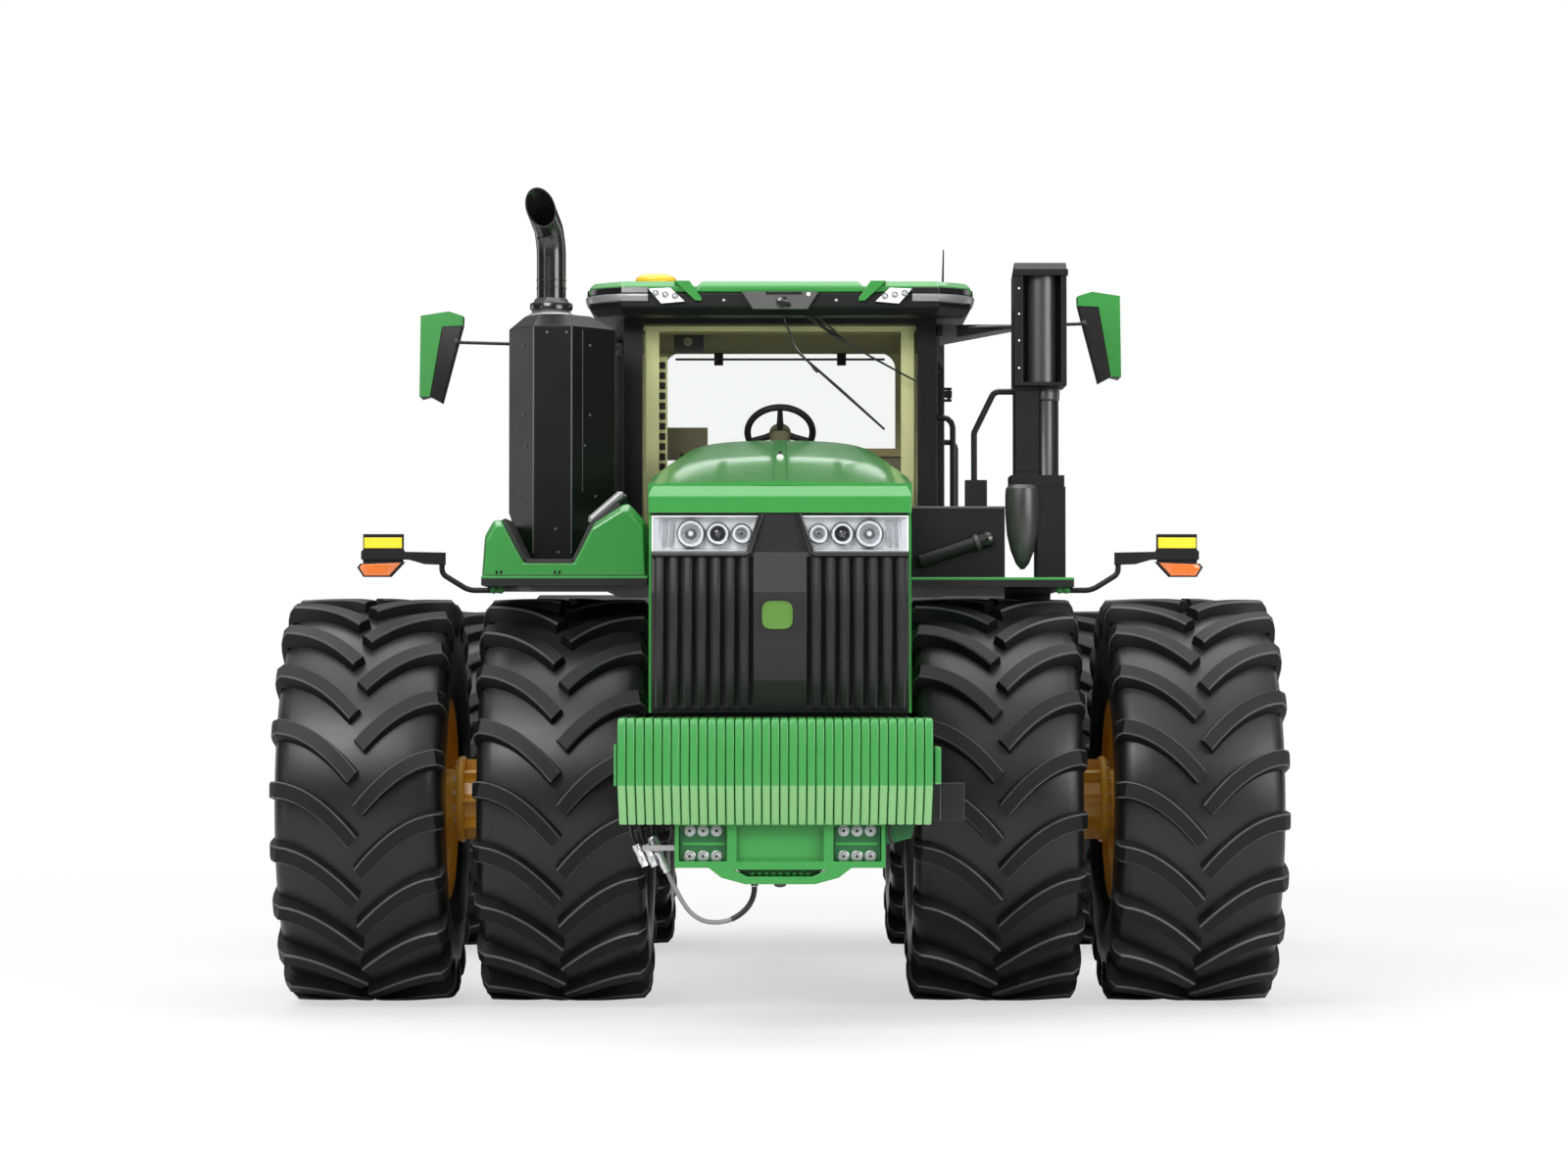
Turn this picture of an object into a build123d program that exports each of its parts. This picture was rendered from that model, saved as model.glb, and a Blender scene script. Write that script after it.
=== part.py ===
from build123d import *
import os
from math import acos, cos, hypot, pi, radians, sin, tan

# Articulated four-wheel-drive farm tractor on dual wheels.
# Millimetres. X to the tractor's left, front towards -Y, +Z up.
# Origin on the ground, on the centreline, halfway along the length.

# ------------------------------------------------------------------ driving sizes
WHEELBASE = 3912
FRONT_OVERHANG = 2350        # front axle to the face of the front weights
REAR_OVERHANG = 1600         # rear axle to the tip of the drawbar
LENGTH = FRONT_OVERHANG + WHEELBASE + REAR_OVERHANG
FRONT_AXLE = FRONT_OVERHANG - LENGTH / 2
REAR_AXLE = FRONT_AXLE + WHEELBASE
PIVOT = (FRONT_AXLE + REAR_AXLE) / 2      # articulation point, midway between the axles

TYRE_RADIUS = 1035           # to the tips of the lugs
TYRE_HALF = 418              # half the width over the sidewalls
TREAD_HALF = 395             # half the width over the lugs
INNER_WHEEL = 1085           # centreline to the middle of the inner tyre
OUTER_WHEEL = 2080           # centreline to the middle of the outer tyre
AXLE_Z = TYRE_RADIUS

RIM_RADIUS = 483
BEAD_HALF = 337              # half the width between the outer faces of the beads
BULGE_RADIUS = 740           # where the sidewalls are widest
RIM_HALF = BEAD_HALF + 6      # half the width over the bead seats
RIM_FLANGE = 515
RIM_WALL = 18
TYRE_LUGS = 16               # lugs on each side of a tyre
RIM_SIDES = TYRE_LUGS        # facets round a rim
TREAD_RADIUS = 974           # to the tread between the lugs
SHOULDER_RADIUS = 950        # to the tread's outer edge
BORE_CUT = 470               # radius that the tyre's rings start from, inside its bore
LUG_SHOULDER = 88            # widths of a lug along the tread, at the shoulder and at the middle
LUG_MIDDLE = 66
HUB_DISC = INNER_WHEEL + 215  # centreline to the inner wheel's disc
OUTER_DISC = OUTER_WHEEL - 280
DISC = 30
SEAT_GAP = 0.3               # between a curved seat and what it holds
RUNNING_GAP = 5              # between parts that move past each other
BORE_GAP = 0.05              # radial play of a pin in its bore

STUB_RADIUS = 70
DRUM_RADIUS = 155
AXLE_BEAM = 300
AXLE_BEAM_HALF = 640
HOUSING_END = 1000
HOUSING_RADIUS = 125
STUB_DEPTH = 160

RAIL_INNER = 445
RAIL_OUTER = 485
RAIL_BOTTOM = 950
RAIL_TOP = 1400
RAIL_FRONT = FRONT_AXLE - 1850
BULKHEAD = PIVOT - 340
BULKHEAD_WALL = 40

EAR = 60                     # thickness of the pivot ears
EAR_TOP = RAIL_TOP
EAR_BOTTOM = 680
EAR_ROUND = 130
PIVOT_PIN = 50
PIVOT_PIN_DEPTH = 110

TUBE_RADIUS = 170            # oscillation tube
TRUNNION_FRONT = PIVOT + 300
TRUNNION_BACK = PIVOT + 620

# steering cylinders, seen from above and from the pivot
CYLINDER_FRONT = (280, -1000)
CYLINDER_REAR = (300, 120)
CYLINDER_EYE = 60            # thickness of the eyes
CYLINDER_PIN = 25
BARREL_RADIUS = 60
BARREL_END = 640
ROD_RADIUS = 35
ROD_LENGTH = 740
BRACKET = 30                 # thickness of the plates on each side of an eye

DECK_BOTTOM = 2120
DECK_TOP = 2170
DECK_EDGE = 1490             # centreline to the outer edges of the side decks

HOOD_NOSE = FRONT_AXLE - 1900
HOOD_BACK = FRONT_AXLE + 450
HOOD_BOTTOM = 1500
HOOD_WALL = 12
HOOD_HINGE = (FRONT_AXLE + 400, 2780)     # Y, Z of its hinge axis
HINGE_PIN = 12

CAB_FRONT = FRONT_AXLE + 720
CAB_WIDEST = FRONT_AXLE + 1800
CAB_BACK = FRONT_AXLE + 2200
CAB_FRONT_HALF = 840
CAB_WIDEST_HALF = 930
CAB_BACK_HALF = 800
CAB_WALL = 60
CAB_TOP = 3585
ROOF_TOP = 3765
ROOF_HALF = 1020

DOOR_FRONT = FRONT_AXLE + 800
DOOR_BACK = FRONT_AXLE + 1780
DOOR_BOTTOM = 2200
DOOR_TOP = 3480
DOOR_LEAF = 45
DOOR_GAP = 6
DOOR_HINGE = (955, FRONT_AXLE + 1790)     # X, Y of its hinge axis
DOOR_PIN = 8
GLASS = 6

BOTH = (1, -1)               # left, right


# ------------------------------------------------------------------ helpers
def block(x, y, z, mode=Mode.ADD):
    """A box between the two values of each pair."""
    with Locations(((x[0] + x[1]) / 2, (y[0] + y[1]) / 2, (z[0] + z[1]) / 2)):
        Box(abs(x[1] - x[0]), abs(y[1] - y[0]), abs(z[1] - z[0]), mode=mode)


def side_plate(points, x0, x1, mode=Mode.ADD):
    """An outline of (Y, Z) points, from x0 to x1."""
    with BuildSketch(Plane.YZ.offset(x0)) as outline:
        with BuildLine():
            Polyline(*points, close=True)
        make_face()
    extrude(outline.sketch, amount=x1 - x0, mode=mode)


def front_plate(points, y0, y1, mode=Mode.ADD):
    """An outline of (X, Z) points, from y0 to y1."""
    with BuildSketch(Plane.XZ.offset(-y0)) as outline:
        with BuildLine():
            Polyline(*points, close=True)
        make_face()
    extrude(outline.sketch, amount=y0 - y1, mode=mode)


def plan_plate(points, z0, z1, mode=Mode.ADD):
    """An outline of (X, Y) points, from z0 to z1."""
    with BuildSketch(Plane.XY.offset(z0)) as outline:
        with BuildLine():
            Polyline(*points, close=True)
        make_face()
    extrude(outline.sketch, amount=z1 - z0, mode=mode)


def bar(start, end, radius, mode=Mode.ADD, sides=0):
    """A bar between two points, round or with a number of sides."""
    line = Vector(*end) - Vector(*start)
    with BuildSketch(Plane(origin=start, z_dir=line)) as section:
        if sides:
            RegularPolygon(radius, sides)
        else:
            Circle(radius)
    extrude(section.sketch, amount=line.length, mode=mode)


def rounded_line(points, bends, steps):
    """Places and directions along straight runs whose corners are rounded in a few steps."""
    spots = [Vector(*point) for point in points]
    line = [(spots[0], (spots[1] - spots[0]).normalized())]
    for before, corner, after, bend in zip(spots, spots[1:], spots[2:], bends):
        inward, outward = (corner - before).normalized(), (after - corner).normalized()
        turn = acos(inward.dot(outward))
        start = corner - inward * (bend * tan(turn / 2))
        to_centre = (outward - inward * inward.dot(outward)).normalized()
        for step in range(steps + 1):
            angle = turn * step / steps
            spot = start + to_centre * (bend * (1 - cos(angle))) + inward * (bend * sin(angle))
            line.append((spot, inward * cos(angle) + to_centre * sin(angle)))
    line.append((spots[-1], (spots[-1] - spots[-2]).normalized()))
    return line


def bent_bar(points, radius, bends, sides=6, steps=3, mode=Mode.ADD):
    """A many-sided bar along straight runs, with one bend radius or one for each corner."""
    if not isinstance(bends, (list, tuple)):
        bends = [bends] * (len(points) - 2)
    rings, up = [], None
    for spot, ahead in rounded_line(points, bends, steps):
        if up is None:
            up = Vector(1, 0, 0) if abs(ahead.X) < 0.9 else Vector(0, 0, 1)
        up = (up - ahead * ahead.dot(up)).normalized()
        over = ahead.cross(up)
        rings.append([tuple(spot + up * (radius * cos(2 * pi * k / sides)) + over * (radius * sin(2 * pi * k / sides)))
                      for k in range(sides)])
    add(panel_loft(rings), mode=mode)


def frustum(x0, x1, centre, start_radius, end_radius, sides):
    """A many-sided cone along X between two places, about a (Y, Z) centre."""
    rings = [[(x, centre[0] + radius * cos(2 * pi * k / sides), centre[1] + radius * sin(2 * pi * k / sides))
              for k in range(sides)] for x, radius in ((x0, start_radius), (x1, end_radius))]
    add(panel_loft(rings))


def turned_post(centre, levels, sides):
    """A many-sided upright column about an (X, Y) centre, from a table of (Z, radius)."""
    rings = [[(centre[0] + radius * cos(2 * pi * (k + 0.5) / sides), centre[1] + radius * sin(2 * pi * (k + 0.5) / sides), z)
              for k in range(sides)] for z, radius in levels]
    add(panel_loft(rings))


def panel(corners):
    """One flat panel, or two triangles where four corners don't lie in a plane."""
    if len(corners) == 4:
        a, b, c, d = (Vector(*corner) for corner in corners)
        off_plane = abs((b - a).cross(c - a).normalized().dot(d - a))
        if off_plane > 1e-6:
            return [Face(Wire.make_polygon(corners[:3])), Face(Wire.make_polygon([corners[0], *corners[2:]]))]
    return [Face(Wire.make_polygon(corners))]


def panel_loft(rings):
    """A solid of flat panels between like rings of points, closed by its two end rings."""
    faces = panel(rings[0]) + panel(rings[-1])
    for near, far in zip(rings, rings[1:]):
        for i, corner in enumerate(near):
            j = (i + 1) % len(near)
            faces += panel([corner, near[j], far[j], far[i]])
    return Solid(Shell(faces))


def faceted_ring(outline, sides, turn=0.0):
    """A ring about the X axis through the origin, of flat facets, from an outline of (X, radius) points."""
    faces = []
    for facet in range(sides):
        start = 2 * pi * (facet - 0.5 + turn) / sides
        end = 2 * pi * (facet + 0.5 + turn) / sides
        for (x0, r0), (x1, r1) in zip(outline, outline[1:] + outline[:1]):
            faces.append(Face(Wire.make_polygon([
                (x0, r0 * cos(start), r0 * sin(start)), (x1, r1 * cos(start), r1 * sin(start)),
                (x1, r1 * cos(end), r1 * sin(end)), (x0, r0 * cos(end), r0 * sin(end))])))
    return Solid(Shell(faces))


def mirrored(points, side):
    """Points with their first value on one side of the centreline."""
    return [(side * across, along) for across, along in points]


def save(piece, name):
    """Label one sub-part and write its STEP file."""
    piece.part.label = name
    export_step(piece.part, f"parts/{name}.step")


os.makedirs("parts", exist_ok=True)


# ------------------------------------------------------------------ front frame
axle_notch = AXLE_BEAM / 2 + 1
axle_top = AXLE_Z + AXLE_BEAM / 2
rail_outline = [
    (RAIL_FRONT, RAIL_TOP),
    (RAIL_FRONT, RAIL_BOTTOM + 130),
    (RAIL_FRONT + 150, RAIL_BOTTOM),
    (FRONT_AXLE - axle_notch, RAIL_BOTTOM),
    (FRONT_AXLE - axle_notch, axle_top),
    (FRONT_AXLE + axle_notch, axle_top),
    (FRONT_AXLE + axle_notch, RAIL_BOTTOM),
    (BULKHEAD - 300, RAIL_BOTTOM),
    (BULKHEAD, EAR_BOTTOM),
    (BULKHEAD, RAIL_TOP),
]
cylinder_front_x = CYLINDER_FRONT[0]
cylinder_front_y = PIVOT + CYLINDER_FRONT[1]
eye_half = CYLINDER_EYE / 2
plate_in = eye_half + RUNNING_GAP          # eye's middle to the bracket plates
cab_post_ys = (FRONT_AXLE + 640, PIVOT - 500)
CAB_POST = 100

with BuildPart() as front_frame:
    for side in BOTH:
        side_plate(rail_outline, side * RAIL_INNER, side * RAIL_OUTER)
        for post_y in cab_post_ys:
            block((side * 430, side * 530), (post_y, post_y + CAB_POST), (RAIL_TOP, DECK_BOTTOM))
    block((-RAIL_INNER, RAIL_INNER), (RAIL_FRONT, RAIL_FRONT + 60), (RAIL_BOTTOM + 130, RAIL_TOP))
    block((-RAIL_INNER, RAIL_INNER), (FRONT_AXLE + 420, FRONT_AXLE + 500), (1100, 1290))
    for side in BOTH:
        for low, high in ((-plate_in - BRACKET, -plate_in), (plate_in, plate_in + BRACKET)):
            block((side * (cylinder_front_x - 50), side * RAIL_INNER),
                  (cylinder_front_y - 50, cylinder_front_y + 50), (AXLE_Z + low, AXLE_Z + high))
        bar((side * cylinder_front_x, cylinder_front_y, AXLE_Z - plate_in),
            (side * cylinder_front_x, cylinder_front_y, AXLE_Z + plate_in), CYLINDER_PIN)
save(front_frame, "front_frame")

with BuildPart() as pivot_bulkhead:
    block((-RAIL_OUTER, RAIL_OUTER), (BULKHEAD, BULKHEAD + BULKHEAD_WALL), (EAR_BOTTOM, EAR_TOP))
    for side in BOTH:
        block((side * 190, side * 410), (BULKHEAD - 1, BULKHEAD + BULKHEAD_WALL + 1),
              (AXLE_Z - 90, AXLE_Z + 90), mode=Mode.SUBTRACT)
    for ear_z in (EAR_BOTTOM, EAR_TOP - EAR):
        with BuildSketch(Plane.XY.offset(ear_z)):
            with BuildLine():
                Polyline((-220, BULKHEAD), (220, BULKHEAD), (EAR_ROUND, PIVOT), (-EAR_ROUND, PIVOT), close=True)
            make_face()
            with Locations((0, PIVOT)):
                RegularPolygon(EAR_ROUND, 12)
        extrude(amount=EAR)
    bar((0, PIVOT, EAR_TOP - EAR), (0, PIVOT, EAR_TOP - EAR - PIVOT_PIN_DEPTH), PIVOT_PIN)
    bar((0, PIVOT, EAR_BOTTOM + EAR), (0, PIVOT, EAR_BOTTOM + EAR + PIVOT_PIN_DEPTH), PIVOT_PIN)
save(pivot_bulkhead, "pivot_bulkhead")


# ------------------------------------------------------------------ axles
BOWL_RADIUS = 250
BOWL_HALF = 210


def axle_housing(axle_y):
    """Beam, differential bowl and the round arms that reach into the inner wheels."""
    block((-AXLE_BEAM_HALF, AXLE_BEAM_HALF), (axle_y - AXLE_BEAM / 2, axle_y + AXLE_BEAM / 2),
          (AXLE_Z - AXLE_BEAM / 2, AXLE_Z + AXLE_BEAM / 2))
    bar((0, axle_y - BOWL_HALF, AXLE_Z), (0, axle_y + BOWL_HALF, AXLE_Z), BOWL_RADIUS, sides=16)
    for side in BOTH:
        frustum(side * AXLE_BEAM_HALF, side * HOUSING_END, (axle_y, AXLE_Z), AXLE_BEAM / 2, HOUSING_RADIUS, 12)
        bar((side * HOUSING_END, axle_y, AXLE_Z), (side * (HOUSING_END - STUB_DEPTH), axle_y, AXLE_Z),
            STUB_RADIUS + BORE_GAP, mode=Mode.SUBTRACT)


with BuildPart() as front_axle:
    axle_housing(FRONT_AXLE)
save(front_axle, "front_axle")

with BuildPart() as rear_axle:
    axle_housing(REAR_AXLE)
save(rear_axle, "rear_axle")


# ------------------------------------------------------------------ wheels
facet = 2 * pi / RIM_SIDES
half_facet = facet / 2
tread_reach = TREAD_RADIUS * sin(half_facet)               # half a tread facet along the tread, at the middle
lug_flat = (TYRE_RADIUS ** 2 - tread_reach ** 2) ** 0.5    # axle to a lug's flat top
seat = RIM_RADIUS + SEAT_GAP
flare = (TYRE_HALF - BEAD_HALF) / (BULGE_RADIUS - seat)    # how fast a sidewall leans out
bore_edge = BEAD_HALF - flare * (seat - BORE_CUT)


def lugged_half(side, turn):
    """Half a tyre about the X axis, from its middle to one side, with a slanted lug on each tread facet."""
    faces = []
    for index in range(TYRE_LUGS):
        angle = facet * (index + turn)

        def spot(x, along, out):
            """A point across the tyre, along the tread from the facet's middle and out from the axle."""
            return side * x, out * cos(angle) + along * sin(angle), out * sin(angle) - along * cos(angle)

        def edge(x, radius):
            """The two corners of the facet at one place across the tyre."""
            reach, out = radius * sin(half_facet), radius * cos(half_facet)
            return spot(x, -reach, out), spot(x, reach, out)

        middle, shoulder = edge(0, TREAD_RADIUS), edge(TREAD_HALF, SHOULDER_RADIUS)
        bulge, bead, bore = edge(TYRE_HALF, BULGE_RADIUS), edge(bore_edge, BORE_CUT), edge(0, BORE_CUT)
        shoulder_reach = SHOULDER_RADIUS * sin(half_facet)
        inner = -tread_reach + LUG_MIDDLE
        outer = shoulder_reach - LUG_SHOULDER
        inner_foot = spot(0, inner, TREAD_RADIUS * cos(half_facet))
        outer_foot = spot(TREAD_HALF, outer, SHOULDER_RADIUS * cos(half_facet))
        top = [spot(0, -tread_reach, lug_flat), spot(0, inner, lug_flat),
               spot(TREAD_HALF, shoulder_reach, lug_flat), spot(TREAD_HALF, outer, lug_flat)]
        for corners in (
                (middle[0], shoulder[0], outer_foot), (inner_foot, middle[1], shoulder[1]), top,
                (middle[0], outer_foot, top[3], top[0]), (inner_foot, shoulder[1], top[2], top[1]),
                (outer_foot, shoulder[1], top[2], top[3]),
                (bore[0], bore[1], middle[1], inner_foot, top[1], top[0], middle[0]),
                (shoulder[0], outer_foot, shoulder[1], bulge[1], bulge[0]),
                (bulge[0], bulge[1], bead[1], bead[0]), (bead[0], bead[1], bore[1], bore[0])):
            faces.append(Face(Wire.make_polygon(corners)))
    return Solid(Shell(faces))


# one tyre at the origin, its halves half a lug apart
with BuildPart() as tyre:
    add(lugged_half(1, 0.0))
    add(lugged_half(-1, 0.5))
    with BuildSketch(Plane.YZ.offset(-TYRE_HALF)) as bore:
        RegularPolygon(seat, RIM_SIDES, rotation=180 / RIM_SIDES)
    extrude(bore.sketch, amount=2 * TYRE_HALF, mode=Mode.SUBTRACT)

# one rim at the origin, with lips that lean out over the beads
lip = (RIM_FLANGE - RIM_RADIUS) * flare
rim_edge = [(RIM_HALF, RIM_RADIUS), (RIM_HALF + lip, RIM_FLANGE), (RIM_HALF + lip, RIM_RADIUS - RIM_WALL)]
rim_outline = rim_edge + [(-x, radius) for x, radius in reversed(rim_edge)]
with BuildPart() as rim:
    add(faceted_ring(rim_outline, RIM_SIDES))


def drum(axle_y, x0, x1, radius):
    """A faceted drum on an axle's line, in step with the rims."""
    with BuildSketch(Plane(origin=(x0, axle_y, AXLE_Z), x_dir=(0, 1, 0), z_dir=(1, 0, 0))) as section:
        RegularPolygon(radius, RIM_SIDES, rotation=180 / RIM_SIDES)
    extrude(section.sketch, amount=x1 - x0)


wheels = (                   # name, side, axle
    ("front_left", 1, FRONT_AXLE), ("front_right", -1, FRONT_AXLE),
    ("rear_left", 1, REAR_AXLE), ("rear_right", -1, REAR_AXLE))
for name, side, axle_y in wheels:
    middles = [(side * INNER_WHEEL, axle_y, AXLE_Z), (side * OUTER_WHEEL, axle_y, AXLE_Z)]
    with BuildPart() as tyres:
        with Locations(*middles):
            add(tyre.part)
    save(tyres, f"{name}_tyres")

    with BuildPart() as rims:
        with Locations(*middles):
            add(rim.part)
        for disc in (HUB_DISC, OUTER_DISC):
            drum(axle_y, side * disc, side * (disc + DISC), RIM_RADIUS - RIM_WALL / 2)
        drum(axle_y, side * (HUB_DISC - 2 * DISC), side * (OUTER_DISC + 3 * DISC), DRUM_RADIUS)
        bar((side * (HOUSING_END - STUB_DEPTH + RUNNING_GAP), axle_y, AXLE_Z), (side * HUB_DISC, axle_y, AXLE_Z),
            STUB_RADIUS)
    save(rims, f"{name}_rims")


# ------------------------------------------------------------------ articulation
YOKE_RADIUS = 120
YOKE_BEAM = (60, 180)        # behind the pivot
YOKE_BEAM_HALF = 370
yoke_low = EAR_BOTTOM + EAR + SEAT_GAP
yoke_high = EAR_TOP - EAR - SEAT_GAP
cylinder_rear_x = CYLINDER_REAR[0]
cylinder_rear_y = PIVOT + CYLINDER_REAR[1]

with BuildPart() as articulation_yoke:
    bar((0, PIVOT, yoke_low), (0, PIVOT, yoke_high), YOKE_RADIUS, sides=12)
    block((-200, 200), (PIVOT + YOKE_BEAM[0], TRUNNION_FRONT - RUNNING_GAP), (AXLE_Z - 200, AXLE_Z + 200))
    bar((0, PIVOT + 200, AXLE_Z), (0, TRUNNION_BACK + RUNNING_GAP, AXLE_Z), TUBE_RADIUS)
    bar((0, TRUNNION_BACK + RUNNING_GAP, AXLE_Z), (0, TRUNNION_BACK + RUNNING_GAP + 30, AXLE_Z), TUBE_RADIUS + 30,
        sides=16)
    for low, high in ((-plate_in - BRACKET, -plate_in), (plate_in, plate_in + BRACKET)):
        block((-YOKE_BEAM_HALF, YOKE_BEAM_HALF), (cylinder_rear_y - 60, cylinder_rear_y + 60),
              (AXLE_Z + low, AXLE_Z + high))
    for start, end in ((yoke_low, EAR_BOTTOM + EAR + PIVOT_PIN_DEPTH), (yoke_high, EAR_TOP - EAR - PIVOT_PIN_DEPTH)):
        bar((0, PIVOT, start), (0, PIVOT, end), PIVOT_PIN + BORE_GAP, mode=Mode.SUBTRACT)
save(articulation_yoke, "articulation_yoke")

cylinder_dx = CYLINDER_REAR[0] - CYLINDER_FRONT[0]
cylinder_dy = CYLINDER_REAR[1] - CYLINDER_FRONT[1]
cylinder_rest = hypot(cylinder_dx, cylinder_dy)
along_x = cylinder_dx / cylinder_rest
along_y = cylinder_dy / cylinder_rest


def along_cylinder(side, distance):
    """A point on a steering cylinder's line, measured from its front eye."""
    return (side * (cylinder_front_x + along_x * distance), cylinder_front_y + along_y * distance, AXLE_Z)


def upright(centre, half, radius, mode=Mode.ADD, sides=0):
    """A short upright bar about a point."""
    x, y, z = centre
    bar((x, y, z - half), (x, y, z + half), radius, mode=mode, sides=sides)


for name, side in (("left", 1), ("right", -1)):
    with BuildPart() as barrel:
        upright(along_cylinder(side, 0), eye_half, 45, sides=12)
        bar(along_cylinder(side, 30), along_cylinder(side, 120), 28, sides=8)
        bar(along_cylinder(side, 100), along_cylinder(side, BARREL_END), BARREL_RADIUS, sides=12)
        upright(along_cylinder(side, 0), eye_half, CYLINDER_PIN + BORE_GAP, mode=Mode.SUBTRACT)
        bar(along_cylinder(side, 125), along_cylinder(side, BARREL_END), ROD_RADIUS + BORE_GAP, mode=Mode.SUBTRACT)
    save(barrel, f"{name}_steering_barrel")
    with BuildPart() as steering_rod:
        bar(along_cylinder(side, cylinder_rest - ROD_LENGTH), along_cylinder(side, cylinder_rest - 30), ROD_RADIUS)
        upright(along_cylinder(side, cylinder_rest), eye_half, 50, sides=12)
        upright(along_cylinder(side, cylinder_rest), eye_half, CYLINDER_PIN + BORE_GAP, mode=Mode.SUBTRACT)
    save(steering_rod, f"{name}_steering_rod")


# ------------------------------------------------------------------ rear frame
REAR_RAIL_INNER = 300
REAR_RAIL_OUTER = 360
REAR_RAIL_BOTTOM = 900
REAR_RAIL_TOP = 1320
REAR_RAIL_BACK = REAR_AXLE + 820
rear_rail_outline = [
    (TRUNNION_FRONT, REAR_RAIL_TOP),
    (TRUNNION_FRONT, REAR_RAIL_BOTTOM - 120),
    (TRUNNION_BACK, REAR_RAIL_BOTTOM - 120),
    (TRUNNION_BACK + 120, REAR_RAIL_BOTTOM),
    (REAR_AXLE - axle_notch, REAR_RAIL_BOTTOM),
    (REAR_AXLE - axle_notch, axle_top),
    (REAR_AXLE + axle_notch, axle_top),
    (REAR_AXLE + axle_notch, REAR_RAIL_BOTTOM),
    (REAR_RAIL_BACK, REAR_RAIL_BOTTOM),
    (REAR_RAIL_BACK, REAR_RAIL_TOP),
]
DRAWBAR_Z = 520
DRAWBAR_THICK = 55
DRAWBAR_WIDE = 100
hanger_y = REAR_RAIL_BACK - 60

with BuildPart() as rear_frame:
    for side in BOTH:
        side_plate(rear_rail_outline, side * REAR_RAIL_INNER, side * REAR_RAIL_OUTER)
    block((-REAR_RAIL_INNER, REAR_RAIL_INNER), (TRUNNION_FRONT, TRUNNION_BACK),
          (REAR_RAIL_BOTTOM - 120, REAR_RAIL_TOP))
    block((-REAR_RAIL_INNER, REAR_RAIL_INNER), (hanger_y, REAR_RAIL_BACK), (REAR_RAIL_BOTTOM, REAR_RAIL_TOP))
    bar((0, TRUNNION_FRONT, AXLE_Z), (0, TRUNNION_BACK, AXLE_Z), TUBE_RADIUS + BORE_GAP, mode=Mode.SUBTRACT)
save(rear_frame, "rear_frame")

with BuildPart() as drawbar_hanger:
    for side in BOTH:
        front_plate([(side * 60, DRAWBAR_Z - 70), (side * 110, DRAWBAR_Z - 70), (side * 280, REAR_RAIL_BOTTOM),
                     (side * 60, REAR_RAIL_BOTTOM)], hanger_y, REAR_RAIL_BACK)
    block((-110, 110), (hanger_y, REAR_RAIL_BACK), (DRAWBAR_Z - 70, DRAWBAR_Z - DRAWBAR_THICK / 2))
    block((-110, 110), (hanger_y, REAR_RAIL_BACK), (DRAWBAR_Z + DRAWBAR_THICK / 2, DRAWBAR_Z + 70))
save(drawbar_hanger, "drawbar_hanger")

PIN_HOLE = 35                # radius of the drawbar pin hole
STRAP_GAP = 90               # height of the jaw
tail = LENGTH / 2
pin_y = tail - 90
with BuildPart() as drawbar:
    block((-DRAWBAR_WIDE / 2, DRAWBAR_WIDE / 2), (REAR_AXLE + 380, tail - 60),
          (DRAWBAR_Z - DRAWBAR_THICK / 2, DRAWBAR_Z + DRAWBAR_THICK / 2))
    bar((0, tail - 60, DRAWBAR_Z - DRAWBAR_THICK / 2), (0, tail - 60, DRAWBAR_Z + DRAWBAR_THICK / 2), 60, sides=12)
    jaw_low = DRAWBAR_Z + DRAWBAR_THICK / 2 + STRAP_GAP
    block((-DRAWBAR_WIDE / 2, DRAWBAR_WIDE / 2), (tail - 360, tail - 60), (jaw_low, jaw_low + 35))
    bar((0, tail - 60, jaw_low), (0, tail - 60, jaw_low + 35), 60, sides=12)
    block((-DRAWBAR_WIDE / 2, DRAWBAR_WIDE / 2), (tail - 360, tail - 250), (DRAWBAR_Z, jaw_low + 10))
    bar((0, pin_y, DRAWBAR_Z - DRAWBAR_THICK), (0, pin_y, jaw_low + 60), PIN_HOLE, mode=Mode.SUBTRACT)
save(drawbar, "drawbar")

TANK_FRONT = PIVOT + 1050
TANK_BACK = REAR_AXLE + 560
TANK_HALF = 590
TANK_TOP = 2330
with BuildPart() as fuel_tank:
    side_plate([(TANK_FRONT, REAR_RAIL_TOP), (TANK_FRONT, TANK_TOP - 60), (TANK_FRONT + 60, TANK_TOP),
                (TANK_BACK - 120, TANK_TOP), (TANK_BACK, TANK_TOP - 100), (TANK_BACK, REAR_RAIL_TOP)],
               -TANK_HALF, TANK_HALF)
    chamfer(fuel_tank.edges().filter_by(Axis.Y).group_by(Axis.Z)[-1], 90)
save(fuel_tank, "fuel_tank")

FENDER_GAP = 70              # lugs to the fender
FENDER_WALL = 25
FENDER_SIDES = 12            # facets along a fender's arch
FENDER_START = radians(22)   # above the axle's level, front and back
fender_in = TYRE_RADIUS + FENDER_GAP
fender_turn = (pi - 2 * FENDER_START) / FENDER_SIDES
arch_line = [FENDER_START + fender_turn * step for step in range(FENDER_SIDES + 1)]
arch = [(REAR_AXLE + fender_in / cos(fender_turn / 2) * cos(angle),
         AXLE_Z + fender_in / cos(fender_turn / 2) * sin(angle)) for angle in arch_line]
arch += [(REAR_AXLE + (fender_in / cos(fender_turn / 2) + FENDER_WALL) * cos(angle),
          AXLE_Z + (fender_in / cos(fender_turn / 2) + FENDER_WALL) * sin(angle)) for angle in reversed(arch_line)]
with BuildPart() as rear_fenders:
    for side in BOTH:
        side_plate(arch, side * TANK_HALF, side * (INNER_WHEEL + TYRE_HALF))
save(rear_fenders, "rear_fenders")

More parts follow.
